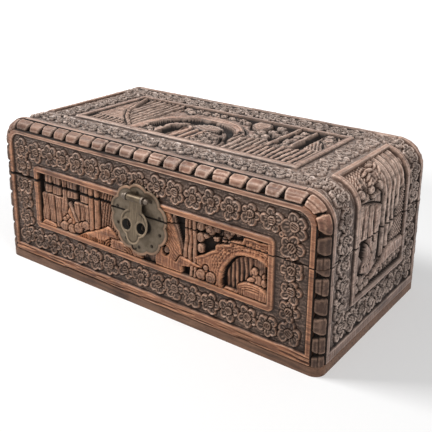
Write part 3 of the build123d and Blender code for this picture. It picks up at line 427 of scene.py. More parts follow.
def frontPicture(f):
    # left: blocks over hanging cloths, trunks, reeds and a bank with stones and a boat;
    # right: a pointed rock, trunks, clumps of leaves and the bridge
    u, v = warped(f, 9, 1.2, 31)
    f["h"] = -2.9 + 0.9 * (hills(u, v * 0.35, 3.4) - 0.5)
    f["rub"] = np.full_like(u, 0.2)
    cut(f, panel(u, v, -106, -41, 64, 84), -3.9, 1.2, 0.0)
    for low, high, bottom in ((-101, -94.5, 68), (-92.5, -85, 67.5), (-82.3, -77.8, 66.5),
                              (-76.5, -66.3, 68.5), (-61.5, -54, 68)):
        block = panel(u, v, low, high, bottom, 85, 0.7)
        cut(f, block, -1.3 - 0.5 * hills(u, v * 0.3, 2.2), 0.8, 0.45)
        ribs(f, block, u, 3.1, 0.5)
        score(f, np.abs(v - bottom - 7.5), 0.4, 0.5, ease(0, 1, block))
    hollow(f, panel(u, v, -112, -105.2, 42, 85))
    hollow(f, panel(u, v, -66.2, -62, 67, 73.4, 1))
    for x in (-84, -77.2, -93.6):
        score(f, np.where(v > 66, u - x, 9), 0.6, 2.5)
    cloth(f, u, v, -105, -77.5, 40.5, 66.6, (-98.6, -91.4, -84.4))
    cloth(f, u, v, -68.6, -53, 47, 66.6, (-63, -58.2))
    rock = facet(u, v, [(-84, 44), (-66, 46), (-74.5, 61.5)])
    dome(f, rock, -2.4, -0.7, 3.5, 0.9)
    bar(f, u, v, (-74, 64), (-65.5, 49), 1.3, rub=0.25)
    for x, y, size in ((-77.2, 52, 2.1), (-80.4, 49.6, 1.8), (-74, 50, 1.7)):
        stone(f, u, v, x, y, size * 1.2, size, 0.5, 0)
    for x in (-50.7, -45.0):
        bar(f, u, v, (x, 45), (x + 0.2, 86), 2.1, rub=0.7)
    hollow(f, panel(u, v, -42.7, -40.4, 52, 85))
    reeds = panel(u, v, -40, -22, 48, 85)
    cut(f, reeds, -1.7, 0.8, 0.4)
    lean = u - 0.16 * (v - 52) * (1 + 0.03 * (u + 40))
    ribs(f, reeds, lean, 2.5, 2.3, 0.6)
    top = np.where(u < -34.5, 54.9 + 0.5 * (u + 34.5), 54.9 - 0.045 * (u + 34.5) ** 2)
    bank = np.minimum(top - v, 42)
    score(f, bank + 0.2, 0.7, 1.6)
    dome(f, bank, -1.7, -0.7, 3.0, 1.0)
    comb = ease(0.4, 1.0, bank) * (1 - ease(42.4, 43.2, v + 0.4 * np.sin(u))) * (1 - ease(-38, -36, u))
    f["h"] -= 2.6 * comb * waves(u, 2.1)
    for x, y, wide, tall, rings in ((-80.7, 43.4, 5.4, 4.2, 0), (-73, 42.6, 4.2, 4.2, 1),
                                    (-66, 45.2, 4.4, 4.3, 1), (-61.2, 48.6, 3.0, 2.8, 0),
                                    (-57.2, 49.4, 3.9, 3.8, 2)):
        stone(f, u, v, x, y, wide, tall, 0.1, rings)
    ledge = facet(u, v, [(-109, 38), (-89, 38), (-90.5, 41.8), (-103, 43.6)])
    score(f, ledge, 0.7, 1.4)
    cut(f, ledge, -0.8, 0.8, 1.0)
    hull = np.minimum(47.6 - 0.012 * (u + 22) ** 2 - v, 16.5 - np.abs(u + 15))
    score(f, hull, 0.8, 2.0)
    dome(f, hull, -1.8, -0.8, 2.0, 0.85)
    for x, y, way, radii in ((-30, 38.5, -1, (3.2, 5.2, 7.2)), (-17, 38, 1, (4, 6.2, 8.4))):
        for radius in radii:
            score(f, disc(u, v, x, y, radius), 0.5, 1.9, ease(-1, 1, way * (u - x)))
    # right half
    rock = facet(u, v, [(14, 36), (37, 36), (40.2, 50), (34.6, 64), (29.5, 85), (14, 85)])
    cut(f, rock, -0.9, 0.9, 1.0)
    ribs(f, rock, v + 1.1 * u + 2 * hills(u, v, 4), 3.0, 0.45)
    score(f, u - 28.6 + 0.09 * (v - 80) ** 2 * (v > 76), 0.5, 1.0, ease(75, 77, v))
    hollow(f, facet(u, v, [(38.6, 52), (40.4, 51.5), (43, 85), (29.6, 85), (31.5, 79)]))
    for low, high, half, endHalf in ((40.2, 42.9, 2.0, 1.2), (44.6, 45.7, 1.5, 1.2),
                                     (49.0, 48.8, 1.5, 1.3)):
        bar(f, u, v, (low, 48.5), (high, 86), half, rub=0.5, endHalf=endHalf)
    score(f, u - 46.9, 0.5, 2.0, ease(49, 51, v))
    hollow(f, np.minimum(panel(u, v, 51, 68.5, 54, 84, 1), v - 55 - 0.5 * (u - 51)), 1.2)
    hollow(f, panel(u, v, 69.4, 75, 70, 84, 1), 1.2)
    cut(f, panel(u, v, 66, 90, 76, 85), -4.0, 1.0, 0.1)
    for z in (78.9, 70.9, 63.0):
        block = panel(u, v, 51, 56.4, z - 3.4, z + 3.4, 2.4)
        dome(f, block, -2.8, -1.1, 2.4, 0.35)
        score(f, block - 1.5, 0.3, 0.35)
    for x, y, radius in ((61.6, 78.2, 4.6), (67.2, 80.6, 2.8), (58.6, 73.4, 2.6), (75.9, 79.4, 3.8),
                         (79.6, 81.8, 2.4), (66.8, 73.4, 2.4), (73.4, 74.8, 2.4), (84.5, 81.6, 2.2)):
        clump(f, u, v, x, y, radius)
    bridge(f, u, v)
    tongue = facet(u, v, [(30, 43), (37, 44), (55.6, 49.2), (47, 51), (36, 52.5)])
    score(f, tongue, 0.8, 1.8)
    dome(f, tongue, -1.8, -0.6, 2.2, 1.0)
    score(f, stroke(u, v, (36, 50.4), (50, 48.6), 0.02), 0.3, 0.4)
    cut(f, facet(u, v, [(14, 36), (36.6, 36), (38.4, 45), (14, 52)]), -0.8, 0.6, 1.0)
    hollow(f, panel(u, v, 38.2, 44.6, 39, 45.2, 1))
    for x in (46.1, 49.4):
        bar(f, u, v, (x, 38), (x + 0.2, 47.2), 1.1, rub=0.4)
    knob = disc(u, v, 22.8, 53, 3.4)
    hollow(f, knob + 0.6)
    dome(f, knob - 0.5, -3.8, -2.2, 2.5, 0.1)
    for x, y, wide, tall, rings in ((54.2, 43.4, 4.0, 4.4, 1), (62.6, 43.2, 4.4, 4.6, 2),
                                    (58.4, 50.0, 2.2, 1.9, 0)):
        stone(f, u, v, x, y, wide, tall, 0.2, rings)
    chiselled(f, u, v, 0.25, 0.55)


def clump(f, u, v, x, z, radius):
    # a clump of leaves: a round boss with scalloped lobes
    around = np.arctan2(v - z, u - x)
    distance = np.hypot(u - x, v - z)
    lobes = radius * (0.9 + 0.12 * np.cos(5 * around + x)) - distance
    score(f, lobes + 0.2, 0.7, 1.0)
    dome(f, lobes, -3.4, -1.1, radius * 0.7, 0.35)
    score(f, distance - radius * 0.42, 0.35, 0.6)
    score(f, np.sin(2.5 * around + x) * distance, 0.35, 0.4, ease(0.4, 1.4, distance) * ease(0, 0.6, lobes))


def bridge(f, u, v):
    # stepped bridge with courses of stone round a wide arch, and a boat under it
    walk = [(50.5, 55.3), (57.2, 59), (63.7, 63.2), (67.7, 64.8), (68, 69), (79.2, 72.2), (79.6, 75.6),
            (89.8, 77.2), (90.4, 80.4), (109.5, 81.6)]
    deck = np.interp(u, *zip(*walk))
    mass = np.minimum(deck - v, u - 51)
    score(f, mass, 0.9, 1.5)
    cut(f, mass, -1.0, 0.8, 1.0)
    centre, radius = (96.0, 45.0), 24.5
    ring = np.hypot(u - centre[0], v - centre[1])
    turn = np.arctan2(v - centre[1], u - centre[0])
    wave = 0.5 * (hills(u, v, 2.6) - 0.5)
    rows = (ring - radius - 1.9 + wave) / 1.9
    stoneWork = ease(0.3, 1.0, mass - 0.9) * ease(0.0, 0.5, rows) * ease(60, 68, u + 0.25 * (v - 50))
    score(f, (rows % 1 - 0.5) * 1.9, 0.32, 0.55, stoneWork)
    joints = (turn * 9 + np.floor(rows) * 0.5 + wave) % 1
    score(f, (joints - 0.5) * 2.4, 0.3, 0.45, stoneWork)
    f["h"] += 0.6 * (hills(u, v, 1.6) - 0.5) * stoneWork
    coping = line(u, v, walk, 1.1) - 0.3
    score(f, coping + 0.7, 0.3, 0.5, ease(0, 1, mass))
    dome(f, coping - 0.1, -1.1, -0.4, 0.9, 0.95)
    opening = radius - ring
    hollow(f, opening)
    drapes = ease(0.8, 2.0, opening)
    f["h"] += drapes * (3.0 - 0.9 * waves(u + 0.06 * v, 3.7) + 0.9 * (hills(u, v * 0.3, 3) - 0.5))
    f["rub"] += drapes * (0.6 - f["rub"])
    hollow(f, np.minimum(opening, u - 105.5))
    hollow(f, np.minimum(opening - 0.4, 1.6 - opening + 0.12 * (84 - u)), 1.2)
    dome(f, 1.15 - np.abs(ring - radius - 0.7), -1.2, -0.4, 1.0, 1.0)
    cut(f, np.minimum(panel(u, v, 99.2, 104, 55, 70, 0.8), opening - 0.8), -2.9, 0.8, 0.4)
    for shape, top in (
        (oval(u, v, 99.5, 53, 4.4, 4.6, 0.2), -1.9), (oval(u, v, 95.0, 52.2, 3.4, 1.7, 0.5), -1.7),
        (disc(u, v, 97.8, 59.0, 2.6), -1.3), (oval(u, v, 104.4, 52.6, 2.2, 3.0), -2.0),
        (disc(u, v, 104.9, 57.2, 1.6), -1.8),
    ):
        score(f, shape, 0.6, 0.9)
        dome(f, shape, -3.4, top, 1.6, 0.6)
    nose = np.minimum(50.2 - 0.028 * (u - 97) ** 2 - v, 11.8 - np.abs(u - 97))
    hull = np.minimum(nose, v - 39)
    score(f, hull, 0.7, 1.4)
    dome(f, hull, -1.9, -0.8, 1.6, 0.85)
    for lift in (1.5, 3.1, 4.8):
        score(f, nose - lift, 0.35, 0.8, ease(0, 0.5, hull) * (1 - ease(101, 104, u)))
    bed = facet(u, v, [(72, 37), (85.5, 37), (86.5, 41.4), (75, 41.2)])
    cut(f, bed, -1.0, 0.8, 1.0)


# Top and both ends in one: u runs from the middle of the top out over the shoulder and down the
# end, v runs from front to back


def wrapHeight(u, v):
    face = plainFace(u, v)
    b, c = body, layout
    rim = b["shoulder"] + unrolledRim
    fieldU, fieldV = rim - b["foot"] - c["footBand"], b["boardY"] - c["fillet"]
    field = panel(u, v, -fieldU, fieldU, -fieldV, fieldV)
    endStart, endStop = b["shoulder"], rim - c["endLow"]
    topOuter = panel(u, v, -c["topHalf"], c["topHalf"], c["frameFront"], c["frameBack"])
    endOuter = panel(np.abs(u), v, endStart, endStop, c["frameFront"], c["frameBack"])
    topInner, endInner = topOuter - c["frame"], endOuter - c["frame"]
    fieldAndFrame(face, field, np.maximum(topOuter, endOuter), np.maximum(topInner, endInner))
    rows = (c["frameFront"] - fieldV) / 2, (c["frameBack"] + fieldV) / 2
    upper, lower = (c["topHalf"] + endStart) / 2, (endStop + fieldU) / 2
    flowerBorder(face, rows, (-lower, -upper, upper, lower), c["wrapFlowers"],
                 np.random.default_rng(seeds["wrap"]))
    carvePicture(face, topInner, topPicture)
    for side in (1, -1):
        carvePicture(face, np.where(side * u > 0, endInner, -9), endPicture, side)
    return face


def topPicture(f):
    # left: a roof under its ridge and long boards; middle: a great arch over a smaller one, with
    # planks and a canopy; right: a grove, a deep cleft and planks
    u, v = warped(f, 11, 1.6, 57)
    f["h"] = -2.7 + 1.0 * (hills(u, v, 5) - 0.5)
    f["rub"] = np.full_like(u, 0.5)
    ridge = [(-98, 42), (-84, 4), (-73, -11.5), (-50, -32)]
    ridgeY = np.interp(u, *zip(*ridge))
    roof = np.minimum(ridgeY - v, -55 - u)
    cut(f, roof, -1.5, 1.0, 0.7)
    ribs(f, np.minimum(roof, -18 - v), u + 0.06 * v, 4.4, 1.6)
    ribs(f, roof, 0.8 * u - v, 2.2, 0.4)
    boards = np.minimum(v - ridgeY, np.minimum(-49.5 - u, u + 97))
    cut(f, boards, -0.9, 1.0, 0.65)
    ribs(f, boards, u + 80.8 + 0.02 * (v - 10), 5.2, 3.9, 0.8, 2)
    ribs(f, boards, u + 1.2 * hills(u, v * 0.2, 6), 1.8, 0.35)
    for x in (-84.2, -72.4, -51.5):
        score(f, u - x, 1.1, 3.0, ease(0, 1, v - ridgeY))
    hollow(f, facet(u, v, [(-85, 13), (-89, 40), (-95.5, 40), (-90, 25)]), 1.2)
    for start, end in zip(ridge, ridge[1:]):
        bar(f, u, v, start, end, 1.6, high=-0.4, rub=0.9)
    for start, end in zip(ridge, ridge[1:]):
        score(f, stroke(u, v, start, end, 0.02), 0.35, 0.7)
    # clumps of leaves behind the arch
    cut(f, np.minimum(panel(u, v, -49, 58, -2, 44), v - 20 + 0.9 * (u - 34)), -4.6, 1.0, 0.2)
    for x, y, radius in (
        (-46, 37, 4.6), (-39, 31.5, 4.4), (-35, 39, 3.6), (-27, 36.5, 4.2), (-19, 39, 3.6),
        (-10, 38.6, 3.6), (-1, 37.2, 3.4), (9, 38.4, 3.6), (16, 34, 4.0), (40, 9, 4.2),
        (39, 19.5, 4.4), (47, 13, 4.0), (53, 20, 4.2), (46, 25.5, 4.2), (47, 37, 4.6),
        (54.5, 30, 3.6), (51, 4, 3.8), (66, 36, 3.4), (67, 26, 3.6), (66, 12, 4.2),
        (70, 3, 3.6), (66.5, -3, 3.4),
    ):
        clump(f, u, v, x, y, radius)
    # a drum beside them
    drum = oval(u, v, 31, 33, 8.2, 10.5, 0.35)
    score(f, drum + 0.6, 1.0, 2.4)
    dome(f, drum, -2.4, -0.8, 4.0, 0.5)
    ribs(f, drum, u * 0.9 - v * 0.35, 2.6, 0.7)
    # the arches
    side = (u + 6.5) / np.where(u < -6.5, 43.5, 44.5)
    rise = (v + 36) / 61.5
    great = 1 - (np.abs(side) ** 2.5 + np.clip(rise, 0, None) ** 2.5) ** 0.4
    under = great * 46
    broken = np.maximum(26 - u, v - 9)
    cut(f, under + 1, -2.8, 1.0, 0.5)
    band = np.minimum(np.minimum(under + 1.5, 7.5 - under), broken)
    score(f, under + 1.8, 1.0, 2.0, ease(-1, 1, broken))
    cut(f, band, -0.7 - 0.5 * ease(2, 7, under) * (u < 20), 1.0, 0.9)
    score(f, under - 1.4, 0.35, 0.6, ease(-1, 1, broken))
    rubble = np.minimum(np.minimum(under + 1.5, 7.5 - under), -broken)
    cut(f, rubble, -1.7, 1.0, 0.6)
    ribs(f, rubble, u + 0.05 * v, 4.4, 2.4, 0.8, 2)
    taper = ease(-50, -40, u) * (1 - 0.72 * ease(-14, 30, u)) * (1 - ease(33, 36, u))
    slot = 1.1 + 2.9 * taper
    hollow(f, np.minimum(slot - np.abs(under - 5.8 - slot), np.minimum(v + 17, 36 - u)))
    # smaller arch, planks and canopy
    small = 15.5 - np.hypot((u + 11.5) * 0.84, np.maximum(v + 12, 0))
    outline = np.minimum(small, 8 - u)
    cut(f, np.minimum(outline, 4.4), -0.9, 1.0, 0.8)
    hollow(f, np.minimum(4.6 - np.abs(small - 8.6), -15.6 - u - 0.1 * v))
    hollow(f, line(u, v, [(-19, -10), (-17, -2), (-12.5, 4)], 2.1))
    planks = panel(u, v, -16, 5.5, -36, -3, 1)
    cut(f, planks, -1.1, 0.9, 1.0)
    ribs(f, planks, u + 10.2, 7.2, 1.6)
    canopy = oval(u, v, 0.5, 2.6, 13, 7.0, 0.1)
    score(f, canopy, 0.8, 1.5)
    dome(f, canopy, -2.0, -1.0, 4.0, 0.3)
    ribs(f, canopy, v - 0.03 * (u - 2) ** 2, 3.6, 0.5)
    hollow(f, facet(u, v, [(11.5, -3.5), (18.5, -4.5), (12, 4.5)]), 0.8)
    for x, y, radius in (
        (8.5, -8.5, 3.4), (13.5, -12.5, 3.6), (8.2, -16.5, 3.2), (14.5, -20.5, 3.6), (8.4, -25, 3.4),
        (14.8, -28.6, 3.6), (20.5, -24.5, 3.2), (19.5, -15.5, 3.0), (20.5, -31.5, 3.0),
        (-36.5, -23, 3.4), (-31, -30, 3.6), (-39.5, -31.5, 3.2), (-30.5, -17.5, 2.8),
    ):
        clump(f, u, v, x, y, radius)
    hollow(f, line(u, v, [(21.5, -9), (27, -17), (29.6, -26), (30, -38)], 1.2), 0.8)
    hollow(f, line(u, v, [(31.5, -16), (34.4, -24), (34.6, -38)], 0.9), 0.8)
    # right: grove, cleft and planks
    grove = panel(u, v, 37.5, 64, -36, 4, 1)
    cut(f, grove, -1.3, 1.0, 0.6)
    ribs(f, grove, u + 0.03 * v, 4.7, 3.4, 1.0, 2)
    for x in (57.0, 63.4):
        score(f, u - x, 0.9, 3.0, ease(-2, 2, v))
    bar(f, u, v, (59.8, -36), (60.4, 44), 1.6, high=-0.5, rub=0.85)
    hollow(f, facet(u, v, [(77, -6), (81, -2), (83, 8), (82.5, 44), (77.4, 44)]), 1.0)
    bar(f, u, v, (75.2, 44), (75.2, 0), 1.6, high=-0.5, rub=0.8)
    bar(f, u, v, (75.4, 0), (70, -9), 1.8, rub=0.7)
    hatch = panel(u, v, 84, 101, 5, 44, 1)
    cut(f, hatch, -1.6, 1.0, 0.55)
    ribs(f, hatch, u + 0.5 * v, 2.8, 1.2)
    for x, y, wide, tall in ((91.5, 29.5, 5, 5.4), (89, 37.5, 4.4, 3.4), (96.5, 20, 3, 5)):
        stone(f, u, v, x, y, wide, tall, 0.3, 1)
    edge = np.minimum(0.33 * u - 29.5 - v, u - 53)
    score(f, edge, 0.8, 1.4)
    cut(f, edge, -1.2, 0.9, 0.95)
    ribs(f, edge, u + 0.5 + 0.02 * v, 4.9, 1.9, 1.0, 2)
    chiselled(f, u, v, 0.3, 0.5)


def endPicture(f, side):
    # a hanging cloth, a grove of straight trunks that runs on over the shoulder, a bank and a rock;
    # t is the height along the surface and y runs from front to back; the hidden left end repeats
    # the arrangement by another hand
    t = body["shoulder"] + unrolledRim - np.abs(f["u"])
    t, y = warped({"u": t, "v": f["v"]}, 10, 1.3, 13 * side)
    f["h"] = -2.6 + 0.8 * (hills(y, t * 0.4, 4) - 0.5)
    f["rub"] = np.full_like(y, 0.4)
    # grove
    area = facet(y, t, [(4.5, 50), (46, 52), (46, 134), (3, 134)])
    cut(f, area, -1.2, 1.0, 0.5)
    ribs(f, area, y - 8.2 + 0.0006 * (t - 80) ** 2, 7.2, 4.3, 0.8, 2)
    ribs(f, area, y - 8.2 + 0.004 * t, 2.4, 0.6)
    thicket = facet(y, t, [(19, 50), (46, 50), (46, 97), (38.5, 97), (33.5, 88), (27, 75)])
    cut(f, thicket, -1.4, 0.8, 0.5)
    ribs(f, thicket, y + t, 2.6, 1.0)
    ribs(f, thicket, y - t * 0.8, 3.1, 0.8)
    hollow(f, line(y, t, [(18.6, 56), (26.5, 75), (33.2, 88), (37.6, 96)], 1.3))
    # cloth
    edge = 101.5 - 0.006 * (y + 33) ** 2 - t
    hall = np.minimum(np.minimum(edge, t - 60), 1.6 - y)
    score(f, hall + 0.4, 0.8, 1.6)
    cut(f, hall, -0.8, 0.9, 0.75)
    for valley in (-31.5, -26, -17.6, -9.2):
        f["h"] -= 2.9 * ease(0, 1.4, hall) * bell(y - valley + 0.03 * (t - 88), 1.4)
    f["h"] -= 0.6 * ease(0, 1.2, hall) * (0.5 + 0.5 * np.cos(y * 2.6))
    cut(f, panel(y, t, -9, -2.4, 55, 70), -1.4, 0.8, 0.5)
    hollow(f, panel(y, t, 1.0, 5.4, 72, 111, 1.5), 1.0)
    hollow(f, panel(y, t, -1.6, 4.6, 51, 80, 2), 1.0)
    # over the shoulder: leaves, openings and round stones between them
    upper = panel(y, t, -36, 3.6, 103.4, 134)
    cut(f, upper, -1.9, 1.0, 0.6)
    ribs(f, upper, y + 0.7 * np.sin(t * 0.4), 3.4, 0.8)
    ribs(f, upper, t + 0.02 * y * y, 2.9, 0.55)
    for x, z, wide, tall, turn in ((-20.5, 111, 2.6, 4.2, 0.1), (-5.0, 108.2, 3.9, 3.0, 0.0),
                                   (-19.5, 118.5, 1.4, 3.4, 0.2), (-3.0, 116.5, 1.3, 2.4, 0.0),
                                   (-30.2, 104.4, 4.5, 1.3, 0.1)):
        hollow(f, oval(y, t, x, z, wide, tall, turn), 1.0)
    for x, z, wide, tall in ((-12.8, 109.4, 3.9, 3.4), (-27, 109.6, 3.2, 4.0),
                             (-12, 104.3, 3.4, 1.8), (1.2, 108.4, 2.0, 3.6)):
        stone(f, y, t, x, z, wide, tall, 0.1, 1)
    for x, z, turn in ((-10.4, 115, 0.5), (-8.8, 118.2, 0.4), (-9.8, 121.6, 0.3), (-3.2, 122.6, -0.2),
                       (2.2, 126, -0.3), (7.4, 123.8, 0.5), (8.2, 119.6, 0.9)):
        leaf = oval(y, t, x, z, 4.6, 1.5, turn)
        score(f, leaf, 0.6, 1.2)
        dome(f, leaf, -2.4, -0.8, 1.4, 0.8)
    # below the lid line: a hollow with its rock, lumps, the bank and the growth under it
    cut(f, panel(y, t, -33.5, -19, 50, 77, 3), -3.2 + 0.05 * (t - 50), 2.0, 0.4)
    hollow(f, facet(y, t, [(-27.5, 66), (-18, 57), (-11.5, 61), (-17.5, 74), (-26, 76)]), 1.6)
    rock = facet(y, t, [(-24, 52), (-13, 47), (-3.6, 51.5), (-9, 63), (-17.5, 71.5)])
    dome(f, rock, -2.2, -0.7, 4.0, 0.85)
    for shift in (0, 3.4, 6.8):
        score(f, stroke(y, t, (-21 + shift, 56), (-12 + shift * 0.6, 64), 0.02), 0.6, 1.5, ease(0, 1, rock))
    bankTop = np.interp(y, [-34, -12, 4.6, 11, 20, 46], [41, 44.5, 49.5, 55.4, 58.2, 57.4])
    bank = bankTop - t
    score(f, bank, 1.0, 3.0)
    dome(f, bank, -1.8, -0.5, 3.0, 0.95)
    growth = np.interp(y, [-34, -8, 12, 24, 46], [37, 42, 45.5, 47.5, 47]) - t
    score(f, growth, 0.8, 1.8)
    cut(f, growth, -2.6, 0.9, 0.3)
    ribs(f, growth, y - 0.8 * t, 2.9, 2.2)
    for x, z, size in ((-29.5, 42.6, 3.8), (-23.5, 46.5, 3.4), (-21.5, 41, 2.8), (-30, 49.6, 3.0),
                       (-14.5, 41.6, 3.0)):
        stone(f, y, t, x, z, size * 1.15, size, 0.3, 2)
    for x in (2, 9.5, 17, 24.5, 32, 39):
        clump(f, y, t, x, 42.4 + 0.06 * x, 3.3)
    chiselled(f, y, t, 0.3, 0.5)


# Making a carved board: a flat grid is fitted to the board's outline, its points are sunk to the
# carving, and its rim is drawn back to close the board

creases = {"wood": 60, "metal": 50, "tube": 40}  # edges sharper than these degrees stay sharp
markStrengths = {"front": 1.0, "top": 1.45, "ends": 1.3}  # how strongly stain, wear, painted shade and painted highlights show


def mode(name):
    bpy.ops.object.mode_set(mode=name)


def select(action, kind=None):
    if kind:
        bpy.ops.mesh.select_mode(type=kind)
    bpy.ops.mesh.select_all(action=action)


def readPoints(piece):
    points = np.empty(len(piece.data.vertices) * 3)
    piece.data.vertices.foreach_get("co", points)
    return points.reshape(-1, 3)


def writePoints(piece, *points):
    piece.data.vertices.foreach_set("co", np.stack(points, 1).ravel())
    piece.data.update()


def readValue(piece, name):
    values = np.empty(len(piece.data.vertices))
    piece.data.attributes[name].data.foreach_get("value", values)
    return values


def writeValues(piece, **values):
    for name, numbers in values.items():
        attribute = piece.data.attributes.get(name) or piece.data.attributes.new(name, "FLOAT", "POINT")
        attribute.data.foreach_set("value", numbers.astype(np.float32))


def blankGrid(name, columns, rows):
    bpy.ops.object.select_all(action="DESELECT")
    bpy.ops.mesh.primitive_grid_add(x_subdivisions=columns, y_subdivisions=rows, size=2)
    piece = bpy.context.object
    piece.name = piece.data.name = name
    p, q = readPoints(piece).T[:2]
    return piece, p, q


def blur(rows, cells):
    # running mean over a square of grid cells, done along each direction in turn
    for axis in (0, 1):
        padded = np.concatenate([np.repeat(rows.take([0], axis), cells + 1, axis), rows,
                                 np.repeat(rows.take([-1], axis), cells, axis)], axis)
        total = np.cumsum(padded, axis)
        size = rows.shape[axis]
        window = 2 * cells + 1
        rows = (total.take(range(window, window + size), axis) - total.take(range(size), axis)) / window
    return rows


def lowest(height, cells):
    # lowest height within so many cells along each direction
    for axis in (0, 1):
        first, last = (height.take([end] * cells, axis) for end in (0, -1))
        padded = np.concatenate([first, height, last], axis)
        size = height.shape[axis]
        height = np.min([padded.take(range(shift, shift + size), axis)
                         for shift in range(2 * cells + 1)], axis=0)
    return height


def stainShadeWearAndHighlight(height, step, markStrength):
    # how far a point lies below its neighbourhood takes dark stain and painted shade, and deep ground more
    # painted shade; how far it stands above it gets rubbed bright with wear and painted highlight; where
    # the strength is greater both show more, and the painted shade climbs the sides of the grooves
    near = blur(height, max(1, round(0.8 / step)))
    wide = blur(blur(height, round(2.4 / step)), round(1.6 / step))
    deep = lowest(height, 2) if markStrength > 1 else height
    deep = 0.35 * height + 0.65 * deep
    hollow = np.clip((wide - deep - 0.1) * markStrength / 1.25, 0, 1) + 0.8 * ease(-2.4, -4.8, deep)
    worn = np.clip((height - near) * markStrength / 0.2, 0, 1) * ease(-4.8, -2.6, height)
    worn = np.maximum(worn, 0.9 * (markStrength - 1) * np.clip((height - wide - 0.2) / 0.7, 0, 1))
    return np.clip(hollow, 0, 1) * (1 - 0.6 * worn), worn


def outlinePoints(p, q, outline):
    # the square from -1 to 1 laid on a board whose upper corners may be round
    if callable(outline):
        return outline(p, q)
    half, low, high, corner = outline
    u = p * half
    v = low + (q + 1) / 2 * (high - low)
    if corner:
        a = np.clip((np.abs(u) - half + corner) / corner, 0, 1)
        c = np.clip((v - high + corner) / corner, 0, 1)
        rounded = (a > 0) & (c > 0)
        u = np.where(rounded, np.sign(u) * (half - corner + corner * a * np.sqrt(1 - c * c / 2)), u)
        v = np.where(rounded, high - corner + corner * c * np.sqrt(1 - a * a / 2), v)
    return u, v


def carvedBoard(name, outline, step, relief, layers, place, bends=()):
    half, low, high = outline[:3]
    columns, rows = round(2 * half / step), round((high - low) / step)
    piece, p, q = blankGrid(name, columns, rows)
    u, v = outlinePoints(p, q, outline)
    face = relief(u, v)
    isFront, isTop = "Front" in name, "Top" in name
    # the rounding of the edges and the painted shade along them are wider at the left of the front, where
    # the lid stands a little open
    gap = 0.45 + 0.95 * ease(10, -30, u) if isFront else 0.6
    seam = 9.0
    for distance, reach, drop in ((half - np.abs(u), 0.9, 0.7), (v - low, 0.9, 0.6), (high - v, 1.1, 0.9)):
        face["h"] -= drop * gap * (1 - ease(0, reach * gap, distance)) ** 2
        seam = np.minimum(seam, distance / gap)
    face["h"] = np.minimum(face["h"], 0)
    grid = face["h"].reshape(rows + 1, columns + 1)
    markStrength = markStrengths["front" if isFront else "top" if isTop else "ends"]
    hollow, worn = stainShadeWearAndHighlight(grid, step, markStrength)
    # painted shade along the board's edges, darkest in the gap between lid and case
    hollow = np.maximum(hollow.ravel(), 1 - ease(0.3, 1.1, seam))
    if isFront:
        hollow = np.clip(hollow + 0.14 * ease(40, 14, v), 0, 1)  # painted shade, darker near the foot
    # less stain and painted shade over the shoulders, which are painted lighter where the light from above
    # falls on them
    if isTop:
        hollow *= 1 - 0.4 * ease(98, 110, u)
    if "LidEnd" in name:
        hollow *= 1 - 0.45 * ease(96, 116, v)
    worn = worn.ravel() * ease(0.4, 1.2, seam) * (0.5 + 0.85 * hills(u, v + 60, 4.5))
    writePoints(piece, u, v, face["h"])
    writeValues(piece, p=p, q=q, hollow=hollow, worn=np.clip(worn, 0, 1), rub=face["rub"])
    closeBack(piece, layers)
    for at in bends:
        splitBack(piece, at, layers[-1][1])
    u, v, w = readPoints(piece).T
    writePoints(piece, *(mm * side for side in place(u, v, w)))
    bpy.ops.object.shade_smooth_by_angle(angle=radians(creases["wood"]))
    return piece


def closeBack(piece, layers):
    # draws the rim back from layer to layer and closes it with one flat face
    mode("EDIT")
    select("DESELECT", "EDGE")
    bpy.ops.mesh.select_non_manifold()
    for outline, depth in layers:
        before = len(piece.data.vertices)
        bpy.ops.mesh.extrude_edges_move()
        mode("OBJECT")
        points = readPoints(piece)
        u, v = outlinePoints(readValue(piece, "p")[before:], readValue(piece, "q")[before:], outline)
        points[before:] = np.stack([u, v, np.full_like(u, depth)], 1)
        hollow, worn = readValue(piece, "hollow"), readValue(piece, "worn")
        hollow[before:] = worn[before:] = 0
        writePoints(piece, *points.T)
        writeValues(piece, hollow=hollow, worn=worn)
        mode("EDIT")
    bpy.ops.mesh.edge_face_add()
    mode("OBJECT")
    for spare in ("p", "q"):
        piece.data.attributes.remove(piece.data.attributes[spare])


def selectFaces(piece, wanted):
    mode("EDIT")
    select("DESELECT", "FACE")
    mode("OBJECT")
    for face in piece.data.polygons:
        face.select = bool(wanted(face))
    mode("EDIT")


def splitBack(piece, at, depth):
    # cuts the flat back across, so that it can follow the shoulder
    selectFaces(piece, lambda face: abs(face.center.z - depth) < 0.01 and face.normal.z < -0.9)
    bpy.ops.mesh.bisect(plane_co=(0, at, 0), plane_no=(0, 1, 0))
    mode("OBJECT")


def closeAndSmooth(angle):
    # in edit mode: turns the faces outwards and keeps the edges sharper than the angle
    select("SELECT")
    bpy.ops.mesh.normals_make_consistent(inside=False)
    mode("OBJECT")
    bpy.ops.object.shade_smooth_by_angle(angle=radians(angle))


def onFront(u, v, w):
    return u, -body["halfDepth"] - w, v


def onTop(u, v, w):
    return u, v, body["height"] + w


def onEnd(side):
    # u runs back from the middle on the right end and forward on the left one
    def place(u, v, w):
        turn = np.clip((v - body["shoulderZ"]) / body["round"], 0, pi / 2)
        reach = body["round"] + w
        x = body["shoulder"] + reach * np.cos(turn)
        z = np.where(turn > 0, body["shoulderZ"] + reach * np.sin(turn), v)
        return side * x, side * u, z
    return place


def endHeight(side):
    # carved height on an end, read from the unrolled top
    def relief(u, v):
        return wrapHeight(side * (body["shoulder"] + unrolledRim - v), side * u)
    return relief


